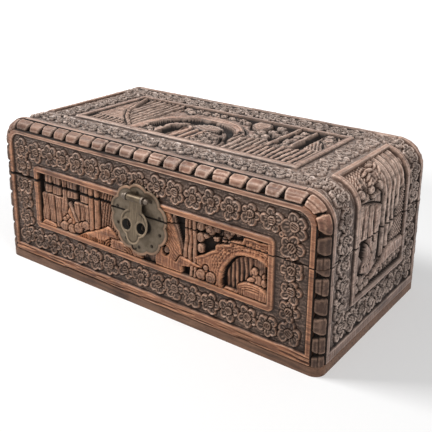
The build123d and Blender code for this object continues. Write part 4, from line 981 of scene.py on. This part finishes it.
def makeBoards():
    b, made = body, {}
    flat = (b["foot"], b["lidLine"], 0)
    outerRail = (b["lidBottom"], b["height"] - b["beads"], b["round"] - b["beads"])
    innerRail = (b["lidBottom"], b["insideZ"], b["round"] - b["wall"])
    for node, name, outer, inner in (("case_front", "carvedCaseFront", flat, flat),
                                     ("lid_front_rail", "carvedLidFront", outerRail, innerRail)):
        outer, inner = (b["boardX"], *outer), (b["insideX"], *inner)
        layers = [(outer, -b["beads"]), (inner, -b["beads"]), (inner, -b["wall"])]
        made[node] = carvedBoard(name, outer, layout["step"], frontHeight, layers, onFront)
    print("front boards carved")
    outline = (b["shoulder"], -b["boardY"], b["boardY"], 0)
    made["lid_top"] = carvedBoard("carvedLidTop", outline, layout["topStep"], wrapHeight,
                                  [(outline, -b["wall"])], onTop)
    print("lid top carved")
    bends = [b["shoulderZ"] + arcLength * k / 8 for k in range(8)]
    for side, word in ((1, "right"), (-1, "left")):
        for half, low, high, folds in (("case", b["foot"], b["lidLine"], ()),
                                       ("lid", b["lidBottom"], unrolledRim, bends)):
            outline = (b["boardY"], low, high, 0)
            made[f"{half}_{word}_end"] = carvedBoard(
                f"carved{half.capitalize()}End.{word}", outline, layout["step"], endHeight(side),
                [(outline, -b["wall"])], onEnd(side), folds)
    print("ends carved")
    for node, piece in made.items():
        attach(piece, "lid" if node.startswith("lid") else "case")
        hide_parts(node)
    return made


# Bead edging: rounded blocks cut from a quarter round, with a steep groove between two

beading = {
    "pitch": 13.7,
    "onShoulder": 3,
    "columnTop": 97.4,
    "groove": 2.2,
    "grooveHalf": 0.55,
    "ease": 1.9,
    "sag": 0.6,
    "step": 0.55,
    "steps": 18,
}


def beadNotches():
    # places of the grooves along the outer face, from the middle of the top outwards
    b, s = body, beading
    run = int(b["shoulder"] / s["pitch"] + 0.5)
    places = [(index + 0.5) * s["pitch"] for index in range(run)]
    columnStart = b["shoulder"] + arcLength + b["shoulderZ"] - s["columnTop"]
    gap = (columnStart - places[-1]) / s["onShoulder"]
    places += [places[-1] + gap * (index + 1) for index in range(s["onShoulder"])]
    while places[-1] + s["pitch"] < b["shoulder"] + unrolledRim - b["foot"] - 4:
        places.append(places[-1] + s["pitch"])
    return np.array(sorted([-p for p in places] + places))


def beadStrip(name, low, high, front, draws):
    # low and high are places along the outer face; negative ones lie left of the middle
    b, s = body, beading
    columns, rows = round((high - low) / s["step"]), s["steps"] + 2
    piece, p, q = blankGrid(name, columns, rows)
    along = low + (p + 1) / 2 * (high - low)
    size = np.abs(along)
    row = np.rint((q + 1) / 2 * rows).astype(int)
    turn = np.clip((row - 1) / s["steps"], 0, 1) * pi / 2
    notches = beadNotches()
    index = np.clip(np.searchsorted(notches, along), 1, len(notches) - 1)
    slant = draws.normal(0.8, 0.35, len(notches))
    flat = draws.uniform(0.0, 0.45, len(notches) + 1)
    shifted = along + (turn / pi * 4 - 1) * slant[index - 1]
    away = np.min(np.abs(shifted[:, None] - notches[None, :]), axis=1) - 1.1 * ease(0.6, 1.4, turn)
    sink = s["groove"] * (1 - ease(s["grooveHalf"] * 0.4, s["grooveHalf"] * 1.9, away))
    sink += s["sag"] * (1 - ease(0.8, s["ease"] + 0.8, away)) ** 2
    sink += flat[index] + 0.35 * (hills(along, turn * 8 + 50 * front, 2.4) - 0.5)
    sink += 0.15 * hills(along, turn * 8, 0.9)
    sink += 0.9 * (1 - ease(0, 0.16, turn)) + 0.9 * (1 - ease(0, 0.16, pi / 2 - turn))
    crest = draws.uniform(-0.7, 1.0, len(notches) + 1)[index]
    fromCrest = turn - 0.85 + 0.1 * (hills(along, 3.0, 5) - 0.5)
    ridge = bell(fromCrest, np.where(crest > 0, 0.16, 0.05))
    sink += 0.45 - np.where(crest > 0, 0.45, 1.1) * crest * ridge
    radius = np.where((row == 0) | (row == rows), 0, b["beads"] - np.clip(sink, 0, None))
    angle = np.clip((size - b["shoulder"]) / b["round"], 0, pi / 2)
    reach = b["round"] - b["beads"] + radius * np.cos(turn)
    down = np.clip(size - b["shoulder"] - arcLength, 0, None)
    x = np.where(along < 0, -1, 1) * (np.minimum(size, b["shoulder"]) + np.sin(angle) * reach)
    y = -front * (b["boardY"] + radius * np.sin(turn))
    z = b["shoulderZ"] + np.cos(angle) * reach - down
    writePoints(piece, x * mm, y * mm, z * mm)
    grid = -sink.reshape(rows + 1, columns + 1)
    near = blur(grid, 2)
    # stain and painted shade deep in the grooves, wear and painted highlight on what stands proud
    hollow = np.clip((-grid - 1.1) / 1.6, 0, 1)
    worn = np.clip((grid - near) / 0.25, 0, 1)
    column = ease(b["shoulder"] + arcLength * 0.7, b["shoulder"] + arcLength * 1.3, size)
    tone = draws.uniform(-0.12, 0.12, len(notches) + 1)[index]
    leftShade = 1 - ease(-b["halfLength"], 0.5 * b["halfLength"], x)  # painted shade, darker towards the left, with less wear and painted highlight there
    grimeAndShade = hollow.ravel() + (0.26 + tone) * column + 0.16 * leftShade * (1 - column)
    # painted highlight down the crest of the beads that have one, over the wear and painted highlight of
    # what stands proud
    shine = np.maximum(worn.ravel(), 0.5 * ridge * (crest > 0)) * (1 - 0.3 * column)
    writeValues(piece, hollow=np.clip(grimeAndShade, 0, 1), worn=shine * (1 - 0.4 * leftShade),
                rub=(0.8 + 2 * tone) * (1 - 0.8 * column) * (1 - 0.3 * leftShade))
    mode("EDIT")
    select("SELECT")
    bpy.ops.mesh.remove_doubles(threshold=0.00001)
    select("DESELECT", "EDGE")
    bpy.ops.mesh.select_non_manifold()
    bpy.ops.mesh.edge_face_add()
    if front < 0:
        # the bevel that lets the lid swing runs out through the back beads
        edge, way = (b["lidBottom"], -1) if low < 0 < high else (b["lidLine"], 1)
        select("SELECT")
        bpy.ops.mesh.bisect(plane_co=(0, (b["halfDepth"] - b["bevel"]) * mm, edge * mm),
                            plane_no=Vector((0, 1, way)).normalized(), use_fill=True, clear_outer=True)
    closeAndSmooth(creases["wood"])
    return piece


def makeBeads():
    b = body
    top = b["shoulder"] + unrolledRim
    lidEnd, caseEnds = top - b["lidBottom"], (top - b["lidLine"], top - b["foot"])
    draws = np.random.default_rng(seeds["beads"])
    for front, word in ((1, "front"), (-1, "back")):
        strip = beadStrip(f"lidBeads.{word}", -lidEnd, lidEnd, front, draws)
        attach(strip, "lid")
        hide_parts(f"lid_bead_{word}")
        for side, hand in ((1, "right"), (-1, "left")):
            low, high = sorted((side * caseEnds[0], side * caseEnds[1]))
            column = beadStrip(f"caseBeads.{word}.{hand}", low, high, front, draws)
            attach(column, "case")
            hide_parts(f"case_bead_{word}_{hand}")
    print("beads cut")


# Lock plate: two halves of a lobed disc with a rolled rim, worn, with grime and painted shadow round the
# staples, painted shade along the cut and a painted shadow below the hasp's tip

plate = {
    "height": layout["plateHeight"],
    "lobes": 10,
    "lobe": 27.4,
    "notch": 25.0,
    "thick": 1.0,
    "rim": 2.3,
    "rimHeight": 0.5,
    "stapleX": 6.8,
    "stapleZ": 67.3,
    "nails": 21.0,
    "stain": (-4.6, 48.6),  # a curved painted shadow below the tip of the hasp
    "stainRadius": 2.1,
    "points": (300, 84),
}


def plateEdge(x, z):
    s = plate
    lobe = np.abs(np.sin(np.arctan2(z, x) * s["lobes"] / 2)) ** 0.65
    return s["notch"] + (s["lobe"] - s["notch"]) * lobe - np.hypot(x, z)


def halfPlate(name, cutZ, side):
    s = plate

    def lay(p, q):
        # a fan of points from the middle of the cut out to the lobed edge
        turn = (1 - p) / 2 * pi
        low, high = np.zeros_like(p), np.full_like(p, 60.0)
        for halving in range(30):
            middle = (low + high) / 2
            inside = plateEdge(middle * np.cos(turn), side * middle * np.sin(turn) + cutZ - s["height"]) > 0
            low, high = np.where(inside, middle, low), np.where(inside, high, middle)
        reach = low * (q + 1) / 2
        return reach * np.cos(turn), cutZ + side * reach * np.sin(turn)

    piece, p, q = blankGrid(name, *s["points"])
    q = 1 - 2 * ((1 - q) / 2) ** 1.25
    x, z = lay(p, q)
    inside, fromCut = plateEdge(x, z - s["height"]), np.abs(z - cutZ)
    rim = np.sqrt(np.clip(1 - ((inside - s["rim"] / 2) / (s["rim"] / 2)) ** 2, 0, 1))
    lift = s["thick"] - 0.12 * hills(x, z, 5) - 0.07 * hills(x * 0.3, z, 0.8) + s["rimHeight"] * rim
    lift -= 0.5 * (1 - ease(0, 0.35, inside)) + 0.2 * (1 - ease(0, 0.6, fromCut))
    lift -= 0.15 * rim * hills(x, z, 1.5)
    grimeAndShade = 0.5 * hills(x, z, 6) * bell(inside - s["rim"] - 0.3, 0.7)
    # painted shade along the cut, where lid and case meet
    grimeAndShade += 1 - ease(0.2, 0.9, fromCut)
    # grime and painted shadow behind the hasp, reaching down and to the left from each staple
    for spot in (-s["stapleX"], s["stapleX"]):
        under = stroke(x, z, (spot, s["stapleZ"]), (spot - 4.5, s["stapleZ"] - 3), 5.0)
        grimeAndShade = np.maximum(grimeAndShade, ease(-1.5, 0.5, under))
    for index in range(s["lobes"]):
        turn = (index + 0.5) * 2 * pi / s["lobes"]
        away = np.hypot(x - s["nails"] * cos(turn), z - s["height"] - s["nails"] * sin(turn))
        grimeAndShade = np.maximum(grimeAndShade, 0.8 * (1 - ease(0.9, 1.8, away)))
    # a curved painted shadow below the tip of the hasp
    dx, dz = x - s["stain"][0], z - s["stain"][1]
    curl = np.abs(np.hypot(dx, dz) - s["stainRadius"])
    grimeAndShade = np.maximum(grimeAndShade, (1 - ease(0.3, 0.9, curl)) * ease(1.2, 0.2, dz + 0.6 * dx))
    worn = rim * (0.2 + 0.8 * hills(x, z, 7)) * ease(0.05, 0.3, inside)
    writePoints(piece, x, z, lift)
    writeValues(piece, p=p, q=q, hollow=np.clip(grimeAndShade, 0, 1), worn=worn, rub=0 * x)
    mode("EDIT")
    select("SELECT")
    bpy.ops.mesh.remove_doubles(threshold=0.0001)
    mode("OBJECT")
    closeBack(piece, [(lay, 0.02)])
    finishMetal(piece, *onFront(*readPoints(piece).T))
    return piece


def finishMetal(piece, x, y, z):
    writePoints(piece, x * mm, y * mm, z * mm)
    mode("EDIT")
    closeAndSmooth(creases["metal"])


# Hasp: a tongue with two lobes round its holes and a rounded tip, rolled over a pin at the top

hasp = {
    "pinZ": 88.0,
    "pinY": -82.0,
    "tilt": 8.5,
    "back": 1.5,
    "thick": 0.8,
    "neckHalf": 6.6,
    "waist": 0.6,
    "neckLength": 9.3,
    "lobeAt": (2.8, 18.61),
    "lobe": 10.06,
    "tip": 6.5,
    "length": 34.0,
    "holeX": 6.8,
    "holeDrop": 20.7,
    "hole": 4.2,
    "tube": 2.5,
    "rolled": 0.62,  # share of the sheet's thickness that its rolled rims leave
    "setBack": 0.12,  # leaves room in front for the rolled rims
    "snap": 0.16,  # points as near as this to a hole's rim move onto it
    "points": (100, 130),
}


def haspHalf(drop):
    # half the tongue's width at a distance below the pin
    s = hasp
    neck = s["neckHalf"] - s["waist"] * np.sin(np.clip(drop / s["neckLength"], 0, 1) * pi)
    lobes = s["lobeAt"][0] + np.sqrt(np.clip(s["lobe"] ** 2 - (drop - s["lobeAt"][1]) ** 2, 0, None))
    tip = np.sqrt(np.clip(s["tip"] ** 2 - np.clip(drop - s["length"] + s["tip"], 0, None) ** 2, 0, None))
    tip += 2 * ease(27.6, 26.8, drop)
    tip += 0.3 * np.sin(drop * 2.2) * ease(28, 29, drop) * ease(33.5, 32, drop)
    return np.where(drop < s["neckLength"], neck, np.where(drop < 26.9, lobes, tip))


def haspEdge(x, drop):
    # distance inside the tongue's outline
    s = hasp
    size = np.abs(x)
    lobes = s["lobe"] - np.hypot(size - s["lobeAt"][0], drop - s["lobeAt"][1])
    tip = s["tip"] - np.hypot(x, np.clip(drop - s["length"] + s["tip"], 0, None))
    lower = np.maximum(lobes, tip)
    return np.where(drop < s["neckLength"], haspHalf(drop) - size, lower)


def makeHasp():
    s = hasp
    piece, p, q = blankGrid("haspTongue", *s["points"])
    drop = s["length"] * (1 - (q + 1) / 2)
    x = p * haspHalf(drop)
    # the points next to a hole move onto its rim, and the faces within go
    for holeX in (-s["holeX"], s["holeX"]):
        dx, dz = x - holeX, drop - s["holeDrop"]
        away = np.hypot(dx, dz) + 1e-9
        onRim = np.abs(away - s["hole"]) < s["snap"]
        x = np.where(onRim, holeX + dx / away * s["hole"], x)
        drop = np.where(onRim, s["holeDrop"] + dz / away * s["hole"], drop)
    toHole = np.hypot(np.abs(x) - s["holeX"], drop - s["holeDrop"]) - s["hole"]
    inside = haspEdge(x, drop)
    rim = bell(inside - 0.7, 0.55) * ease(8, 11, drop)
    ring = bell(toHole - 0.7, 0.5)
    lift = 0.36 * np.maximum(rim, ring)
    lift -= 0.15 * (1 - ease(0, 0.4, inside)) + 0.1 * (1 - ease(0, 0.3, toHole))
    lift += 0.1 * np.cos(2 * pi * x / 1.7) * (1 - ease(14, 22, drop)) * ease(0.6, 1.6, inside)
    lift -= 0.07 * hills(x, drop, 1.4)
    writePoints(piece, x, drop, lift)
    worn = (0.35 + 0.45 * ease(20, 30, drop)) * rim + 0.3 * ring + 0.25 * hills(x * 2, drop * 0.2, 2)
    hollow = 0.55 * bell(inside - 1.9, 0.6) * (1 - ring) * ease(8, 11, drop)
    hollow += 0.4 * hills(x * 3, drop * 0.25, 2) ** 2
    writeValues(piece, worn=np.clip(worn, 0, 1), hollow=np.clip(hollow, 0, 1))
    selectFaces(piece, lambda face: np.hypot(abs(face.center.x) - s["holeX"],
                                             face.center.y - s["holeDrop"]) < s["hole"] - 0.02)
    bpy.ops.mesh.delete(type="FACE")
    select("SELECT")
    bpy.ops.mesh.remove_doubles(threshold=0.001)
    mode("OBJECT")
    sheet = piece.modifiers.new("sheet", "SOLIDIFY")
    sheet.thickness, sheet.offset = s["thick"] * s["rolled"], 0
    bpy.ops.object.modifier_apply(modifier="sheet")
    x, drop, lift = readPoints(piece).T
    c, t = cos(radians(s["tilt"])), sin(radians(s["tilt"]))
    out = s["thick"] / 2 - s["back"] + lift - s["setBack"]
    finishMetal(piece, x, s["pinY"] - drop * t - out * c, s["pinZ"] - drop * c + out * t)
    bpy.ops.object.select_all(action="DESELECT")
    bpy.ops.mesh.primitive_cylinder_add(
        vertices=48, radius=s["tube"] * mm, depth=2 * s["neckHalf"] * mm,
        location=(0, s["pinY"] * mm, s["pinZ"] * mm), rotation=(0, pi / 2, 0))
    tube = bpy.context.object
    tube.name = "haspTube"
    bpy.ops.object.transform_apply()
    edges = tube.modifiers.new("edges", "BEVEL")
    edges.width, edges.segments = 0.4 * mm, 3
    bpy.ops.object.modifier_apply(modifier="edges")
    bpy.ops.object.shade_smooth_by_angle(angle=radians(creases["tube"]))
    for part in (piece, tube):
        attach(part, "hasp")
        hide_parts("hasp")
    return piece, tube


boards = makeBoards()
makeBeads()
plates = [halfPlate("lockPlate.upper", railLow[2], 1), halfPlate("lockPlate.lower", frontHigh[2], -1)]
for piece, half in zip(plates, ("upper", "lower")):
    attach(piece, "lid" if half == "upper" else "case")
    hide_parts(f"{half}_lock_plate")
haspPieces = makeHasp()
print("lock made")


# Materials


def paint(hexCode):
    values = [int(hexCode[i:i + 2], 16) / 255 for i in (1, 3, 5)]
    return (*[x / 12.92 if x <= 0.04045 else ((x + 0.055) / 1.055) ** 2.4 for x in values], 1)


def addNode(tree, kind, settings=None, **links):
    # settings are properties or numbers by name; links are sockets by input name or number
    node = tree.nodes.new(kind)
    for key, value in (settings or {}).items():
        if key in node.inputs:
            node.inputs[key].default_value = value
        else:
            setattr(node, key, value)
    for key, socket in links.items():
        name = key.replace("_", " ")
        isNumber = name[0] == "i" and name[1:].isdigit()
        tree.links.new(socket, node.inputs[int(name[1:]) if isNumber else name])
    return node


def blank(name):
    material = bpy.data.materials.new(name)
    material.use_nodes = True
    tree = material.node_tree
    tree.nodes.clear()
    return material, tree


def mixColours(tree, share, first, second):
    node = addNode(tree, "ShaderNodeMix", {"data_type": "RGBA"})
    for index, value in ((0, share), (6, first), (7, second)):
        if isinstance(value, bpy.types.NodeSocket):
            tree.links.new(value, node.inputs[index])
        else:
            node.inputs[index].default_value = value
    return node.outputs[2]


def ramp(tree, value, low, high, lowTo=0.0, highTo=1.0):
    settings = {"From Min": low, "From Max": high, "To Min": lowTo, "To Max": highTo}
    return addNode(tree, "ShaderNodeMapRange", settings, Value=value).outputs[0]


def noise(tree, where, scale, detail, roughness=0.5):
    settings = {"Scale": scale, "Detail": detail, "Roughness": roughness}
    return addNode(tree, "ShaderNodeTexNoise", settings, Vector=where).outputs[0]


def pointValue(tree, name):
    return addNode(tree, "ShaderNodeAttribute", {"attribute_name": name}).outputs["Fac"]


def surface(tree, settings, base, roughness, grain, strength, depth):
    # shader and output, with `grain` as a fine bump
    bump = addNode(tree, "ShaderNodeBump", {"Strength": strength, "Distance": depth}, Height=grain)
    shader = addNode(tree, "ShaderNodeBsdfPrincipled", settings, Base_Color=base, Roughness=roughness,
                     Normal=bump.outputs[0])
    addNode(tree, "ShaderNodeOutputMaterial", Surface=shader.outputs[0])


def camphorWood(name, colours, grain, gloss, shine=0.3, paintedTopLightFrom=(0.098, 0.120)):
    # oiled camphor wood: long pores every millimetre or so, dark stain and painted shade in the hollows,
    # wear and painted highlights on edges, rubbed red-brown on what stands proud, and paler towards the top
    # as painted light from above
    material, tree = blank(name)
    where = addNode(tree, "ShaderNodeTexCoord").outputs["Object"]
    stretched = addNode(tree, "ShaderNodeMapping", {"Scale": grain}, Vector=where).outputs[0]
    tone = noise(tree, where, 28.0, 4.0, 0.6)
    pores = noise(tree, stretched, 1.0, 3.0, 0.65)
    bands = noise(tree, stretched, 0.28, 2.0)
    speck = noise(tree, where, 900.0, 2.0)
    hollow, worn, rub = (pointValue(tree, key) for key in ("hollow", "worn", "rub"))
    height = addNode(tree, "ShaderNodeSeparateXYZ", i0=where).outputs["Z"]
    paintedTopLight = ramp(tree, height, *paintedTopLightFrom)
    shade = {key: mixColours(tree, paintedTopLight, paint(colours[key]), paint(topLitColour))
             for key, topLitColour in paintedTopLightColours.items()}
    plain = mixColours(tree, ramp(tree, tone, 0.3, 0.7), shade["ground"], shade["groundLight"])
    rubbed = mixColours(tree, ramp(tree, tone, 0.35, 0.65), shade["rubbed"], shade["rubbedLight"])
    base = mixColours(tree, rub, plain, rubbed)
    edge = mixColours(tree, rub, shade["edge"], shade["rubbedEdge"])
    base = mixColours(tree, ramp(tree, worn, 0.0, 1.0, 0.0, 0.9), base, edge)
    for value, low, high, most, colour in (
        (hollow, 0.0, 0.8, 1.0, "stain"), (tone, 0.44, 0.32, 0.4, "pore"), (bands, 0.5, 0.68, 0.45, "pore"),
        (pores, 0.52, 0.70, 0.6, "pore"), (speck, 0.55, 0.75, 0.25, "pore"),
    ):
        base = mixColours(tree, ramp(tree, value, low, high, 0.0, most), base, paint(colours[colour]))
    roughness = ramp(tree, hollow, 0.0, 1.0, gloss, 0.85)
    rough = addNode(tree, "ShaderNodeMath", {"operation": "ADD"}, i0=pores, i1=speck).outputs[0]
    surface(tree, {"IOR": 1.5, "Specular IOR Level": shine}, base, roughness, rough, 0.5, 0.0002)
    return material


def agedBrass(name, dull, light, edge, grimeAndShade, roughness):
    # cast or rolled brass gone brown, lighter where hands rub it and where highlights are painted, darker
    # with grime and painted shade, with fine scratches
    material, tree = blank(name)
    where = addNode(tree, "ShaderNodeTexCoord").outputs["Object"]
    tone = noise(tree, where, 140.0, 5.0, 0.65)
    fine = noise(tree, where, 1400.0, 2.0)
    base = mixColours(tree, ramp(tree, tone, 0.35, 0.65), paint(dull), paint(light))
    base = mixColours(tree, pointValue(tree, "worn"), base, paint(edge))
    base = mixColours(tree, pointValue(tree, "hollow"), base, paint(grimeAndShade))
    uneven = ramp(tree, tone, 0.3, 0.7, roughness - 0.08, roughness + 0.12)
    surface(tree, {"Metallic": 0.85}, base, uneven, fine, 0.35, 0.0001)
    return material


# the stain colour paints dark stain and painted shade in the hollows; the edge colours paint wear and
# painted highlights
woodColours = {
    "ground": "#4c3a31", "groundLight": "#6a5548", "rubbed": "#8c563c", "rubbedLight": "#bf8260",
    "edge": "#d0ac96", "rubbedEdge": "#ecaa80", "stain": "#120a06", "pore": "#2a1a12",
}
# colours towards the top, painted paler as lit from above
paintedTopLightColours = {
    "ground": "#5c4438", "groundLight": "#846858", "rubbed": "#936653", "rubbedLight": "#bf927b",
    "edge": "#fae2d3", "rubbedEdge": "#fad4bd",
}
endColours = dict(woodColours, ground="#45342d", groundLight="#604b41", rubbed="#745548",
                  rubbedLight="#ad8a7a", edge="#f0d8ca", rubbedEdge="#f6d5c3")
beadColours = dict(woodColours, ground="#4b3930", groundLight="#6d5546", rubbed="#7a5042",
                   rubbedLight="#a06f5d")
baseColours = dict(woodColours, ground="#6b4b3a", groundLight="#957058")
alongX, alongY = (70, 1300, 1300), (1300, 70, 1300)
woodAlongX = camphorWood("camphorWood", woodColours, alongX, 0.4)
# the painted top light starts lower on the ends, so that their shoulders are painted lighter
woodAlongY = camphorWood("camphorWoodEnds", endColours, alongY, 0.4, 0.35, (0.084, 0.108))
topWood = camphorWood("camphorWoodTop", woodColours, alongX, 0.36, 0.5)
beadWood = camphorWood("camphorWoodBeads", beadColours, alongX, 0.45)
baseWood = camphorWood("camphorWoodBase", baseColours, alongX, 0.5)
# dull, light, worn and highlit edge, grime and painted shade, and roughness
plateBrass = agedBrass("agedBrass", "#5a4e3f", "#7d7061", "#a8846c", "#120d09", 0.52)
haspBrass = agedBrass("agedBrassHasp", "#54483b", "#776956", "#a8937c", "#241c15", 0.46)
wireBrass = agedBrass("agedBrassWire", "#655a50", "#82766b", "#b8aca0", "#231c16", 0.5)
nailBrass = agedBrass("agedBrassNails", "#2c241d", "#453a30", "#6a5c4e", "#120d09", 0.55)
hingeBrass = agedBrass("agedBrassHinge", "#6b5a3c", "#86714b", "#c8b080", "#231c16", 0.35)


def dress(piece, material):
    piece.data.materials.clear()
    piece.data.materials.append(material)


for node, piece in boards.items():
    dress(piece, topWood if node == "lid_top" else woodAlongY if "end" in node else woodAlongX)
for piece in bpy.data.objects:
    if "Beads" in piece.name:
        dress(piece, beadWood)
for piece in plates:
    dress(piece, plateBrass)
for piece in haspPieces:
    dress(piece, haspBrass)
slotMaterials = {
    "carved_wood": woodAlongX, "bead_wood": beadWood, "base_wood": baseWood,
    "plate_brass": plateBrass, "wire_brass": wireBrass, "hinge_brass": hingeBrass,
}
for subpart in frame["record"]["subparts"]:
    dress(nodes[subpart["node"]], slotMaterials[subpart["material_slot"]])
for node in ("upper_plate_nails", "lower_plate_nails", "hasp_staples"):
    dress(nodes[node], nailBrass)
print("materials set")


# Stage, light and camera: the floor fades to white for the camera and for reflections


def seenDirectly(tree):
    # 1 for rays from the camera and off shiny things, 0 for the light that falls on the box
    path = addNode(tree, "ShaderNodeLightPath").outputs
    return addNode(tree, "ShaderNodeMath", {"operation": "MAXIMUM"}, i0=path["Is Camera Ray"],
                   i1=path["Is Glossy Ray"]).outputs[0]


def stageMaterial(name, near, far):
    # lit by itself for the camera and for reflections, a little round the box and fully far out
    material, tree = blank(name)
    where = addNode(tree, "ShaderNodeTexCoord").outputs["Object"]
    reach = addNode(tree, "ShaderNodeVectorMath", {"operation": "LENGTH"}, i0=where).outputs["Value"]
    strength = addNode(tree, "ShaderNodeMath", {"operation": "MULTIPLY"}, i0=seenDirectly(tree),
                       i1=ramp(tree, reach, 0.3, 0.6, near, far)).outputs[0]
    glow = addNode(tree, "ShaderNodeEmission", {"Color": (1, 1, 1, 1)}, Strength=strength)
    matt = addNode(tree, "ShaderNodeBsdfDiffuse", {"Color": paint("#dedede")})
    both = addNode(tree, "ShaderNodeAddShader", i0=glow.outputs[0], i1=matt.outputs[0])
    addNode(tree, "ShaderNodeOutputMaterial", Surface=both.outputs[0])
    return material


bpy.ops.mesh.primitive_plane_add(size=6, location=(0, 0, 0))
floor = bpy.context.object
floor.name = "floor"
dress(floor, stageMaterial("paperFloor", 0.32, 1.0))

world = bpy.data.worlds.new("softRoom")
bpy.context.scene.world = world
world.use_nodes = True
tree = world.node_tree
tree.nodes.clear()
fill, seenWhite = 0.22, 1.0  # light from all round, and the white that the camera sees
strength = ramp(tree, seenDirectly(tree), 0.0, 1.0, fill, seenWhite)
glow = addNode(tree, "ShaderNodeBackground", {"Color": (1, 1, 1, 1)}, Strength=strength)
addNode(tree, "ShaderNodeOutputWorld", Surface=glow.outputs[0])

lamps = {
    "above": {"at": (-0.75, -0.4, 1.15), "size": 0.45, "power": 14.3},
    "side": {"at": (0.95, -0.35, 0.95), "size": 0.45, "power": 5.0},
}
middle = Vector((0, 0, 0.06))  # of the box, where both lamps point
for name, lamp in lamps.items():
    light = bpy.data.lights.new(name, "AREA")
    light.size = lamp["size"]
    light.energy = lamp["power"]
    holder = bpy.data.objects.new(name, light)
    bpy.context.scene.collection.objects.link(holder)
    holder.location = lamp["at"]
    holder.rotation_euler = (middle - Vector(lamp["at"])).to_track_quat("-Z", "Y").to_euler()

shot = {
    "at": (0.3284, -0.4310, 0.2795),
    "azimuth": 35.90,
    "elevation": 18.05,
    "roll": 0.63,
    "lens": 60.70,
    "sensor": 36,
    "shift": (-0.0153, -0.153),
}
azimuth, elevation, roll = (radians(shot[key]) for key in ("azimuth", "elevation", "roll"))
back = Vector((sin(azimuth) * cos(elevation), -cos(azimuth) * cos(elevation), sin(elevation)))
right = Vector((cos(azimuth), sin(azimuth), 0))
up = back.cross(right)
turned = Matrix((right * cos(roll) + up * sin(roll), up * cos(roll) - right * sin(roll), back)).transposed()
camera = bpy.data.cameras.new("camera")
camera.lens = shot["lens"]
camera.sensor_width = shot["sensor"]
camera.shift_x, camera.shift_y = shot["shift"]
camera.clip_start = 0.01
cameraObject = bpy.data.objects.new("camera", camera)
cameraObject.matrix_world = Matrix.Translation(shot["at"]) @ turned.to_4x4()
bpy.context.scene.collection.objects.link(cameraObject)
bpy.context.scene.camera = cameraObject
bpy.context.scene.view_settings.view_transform = "Standard"
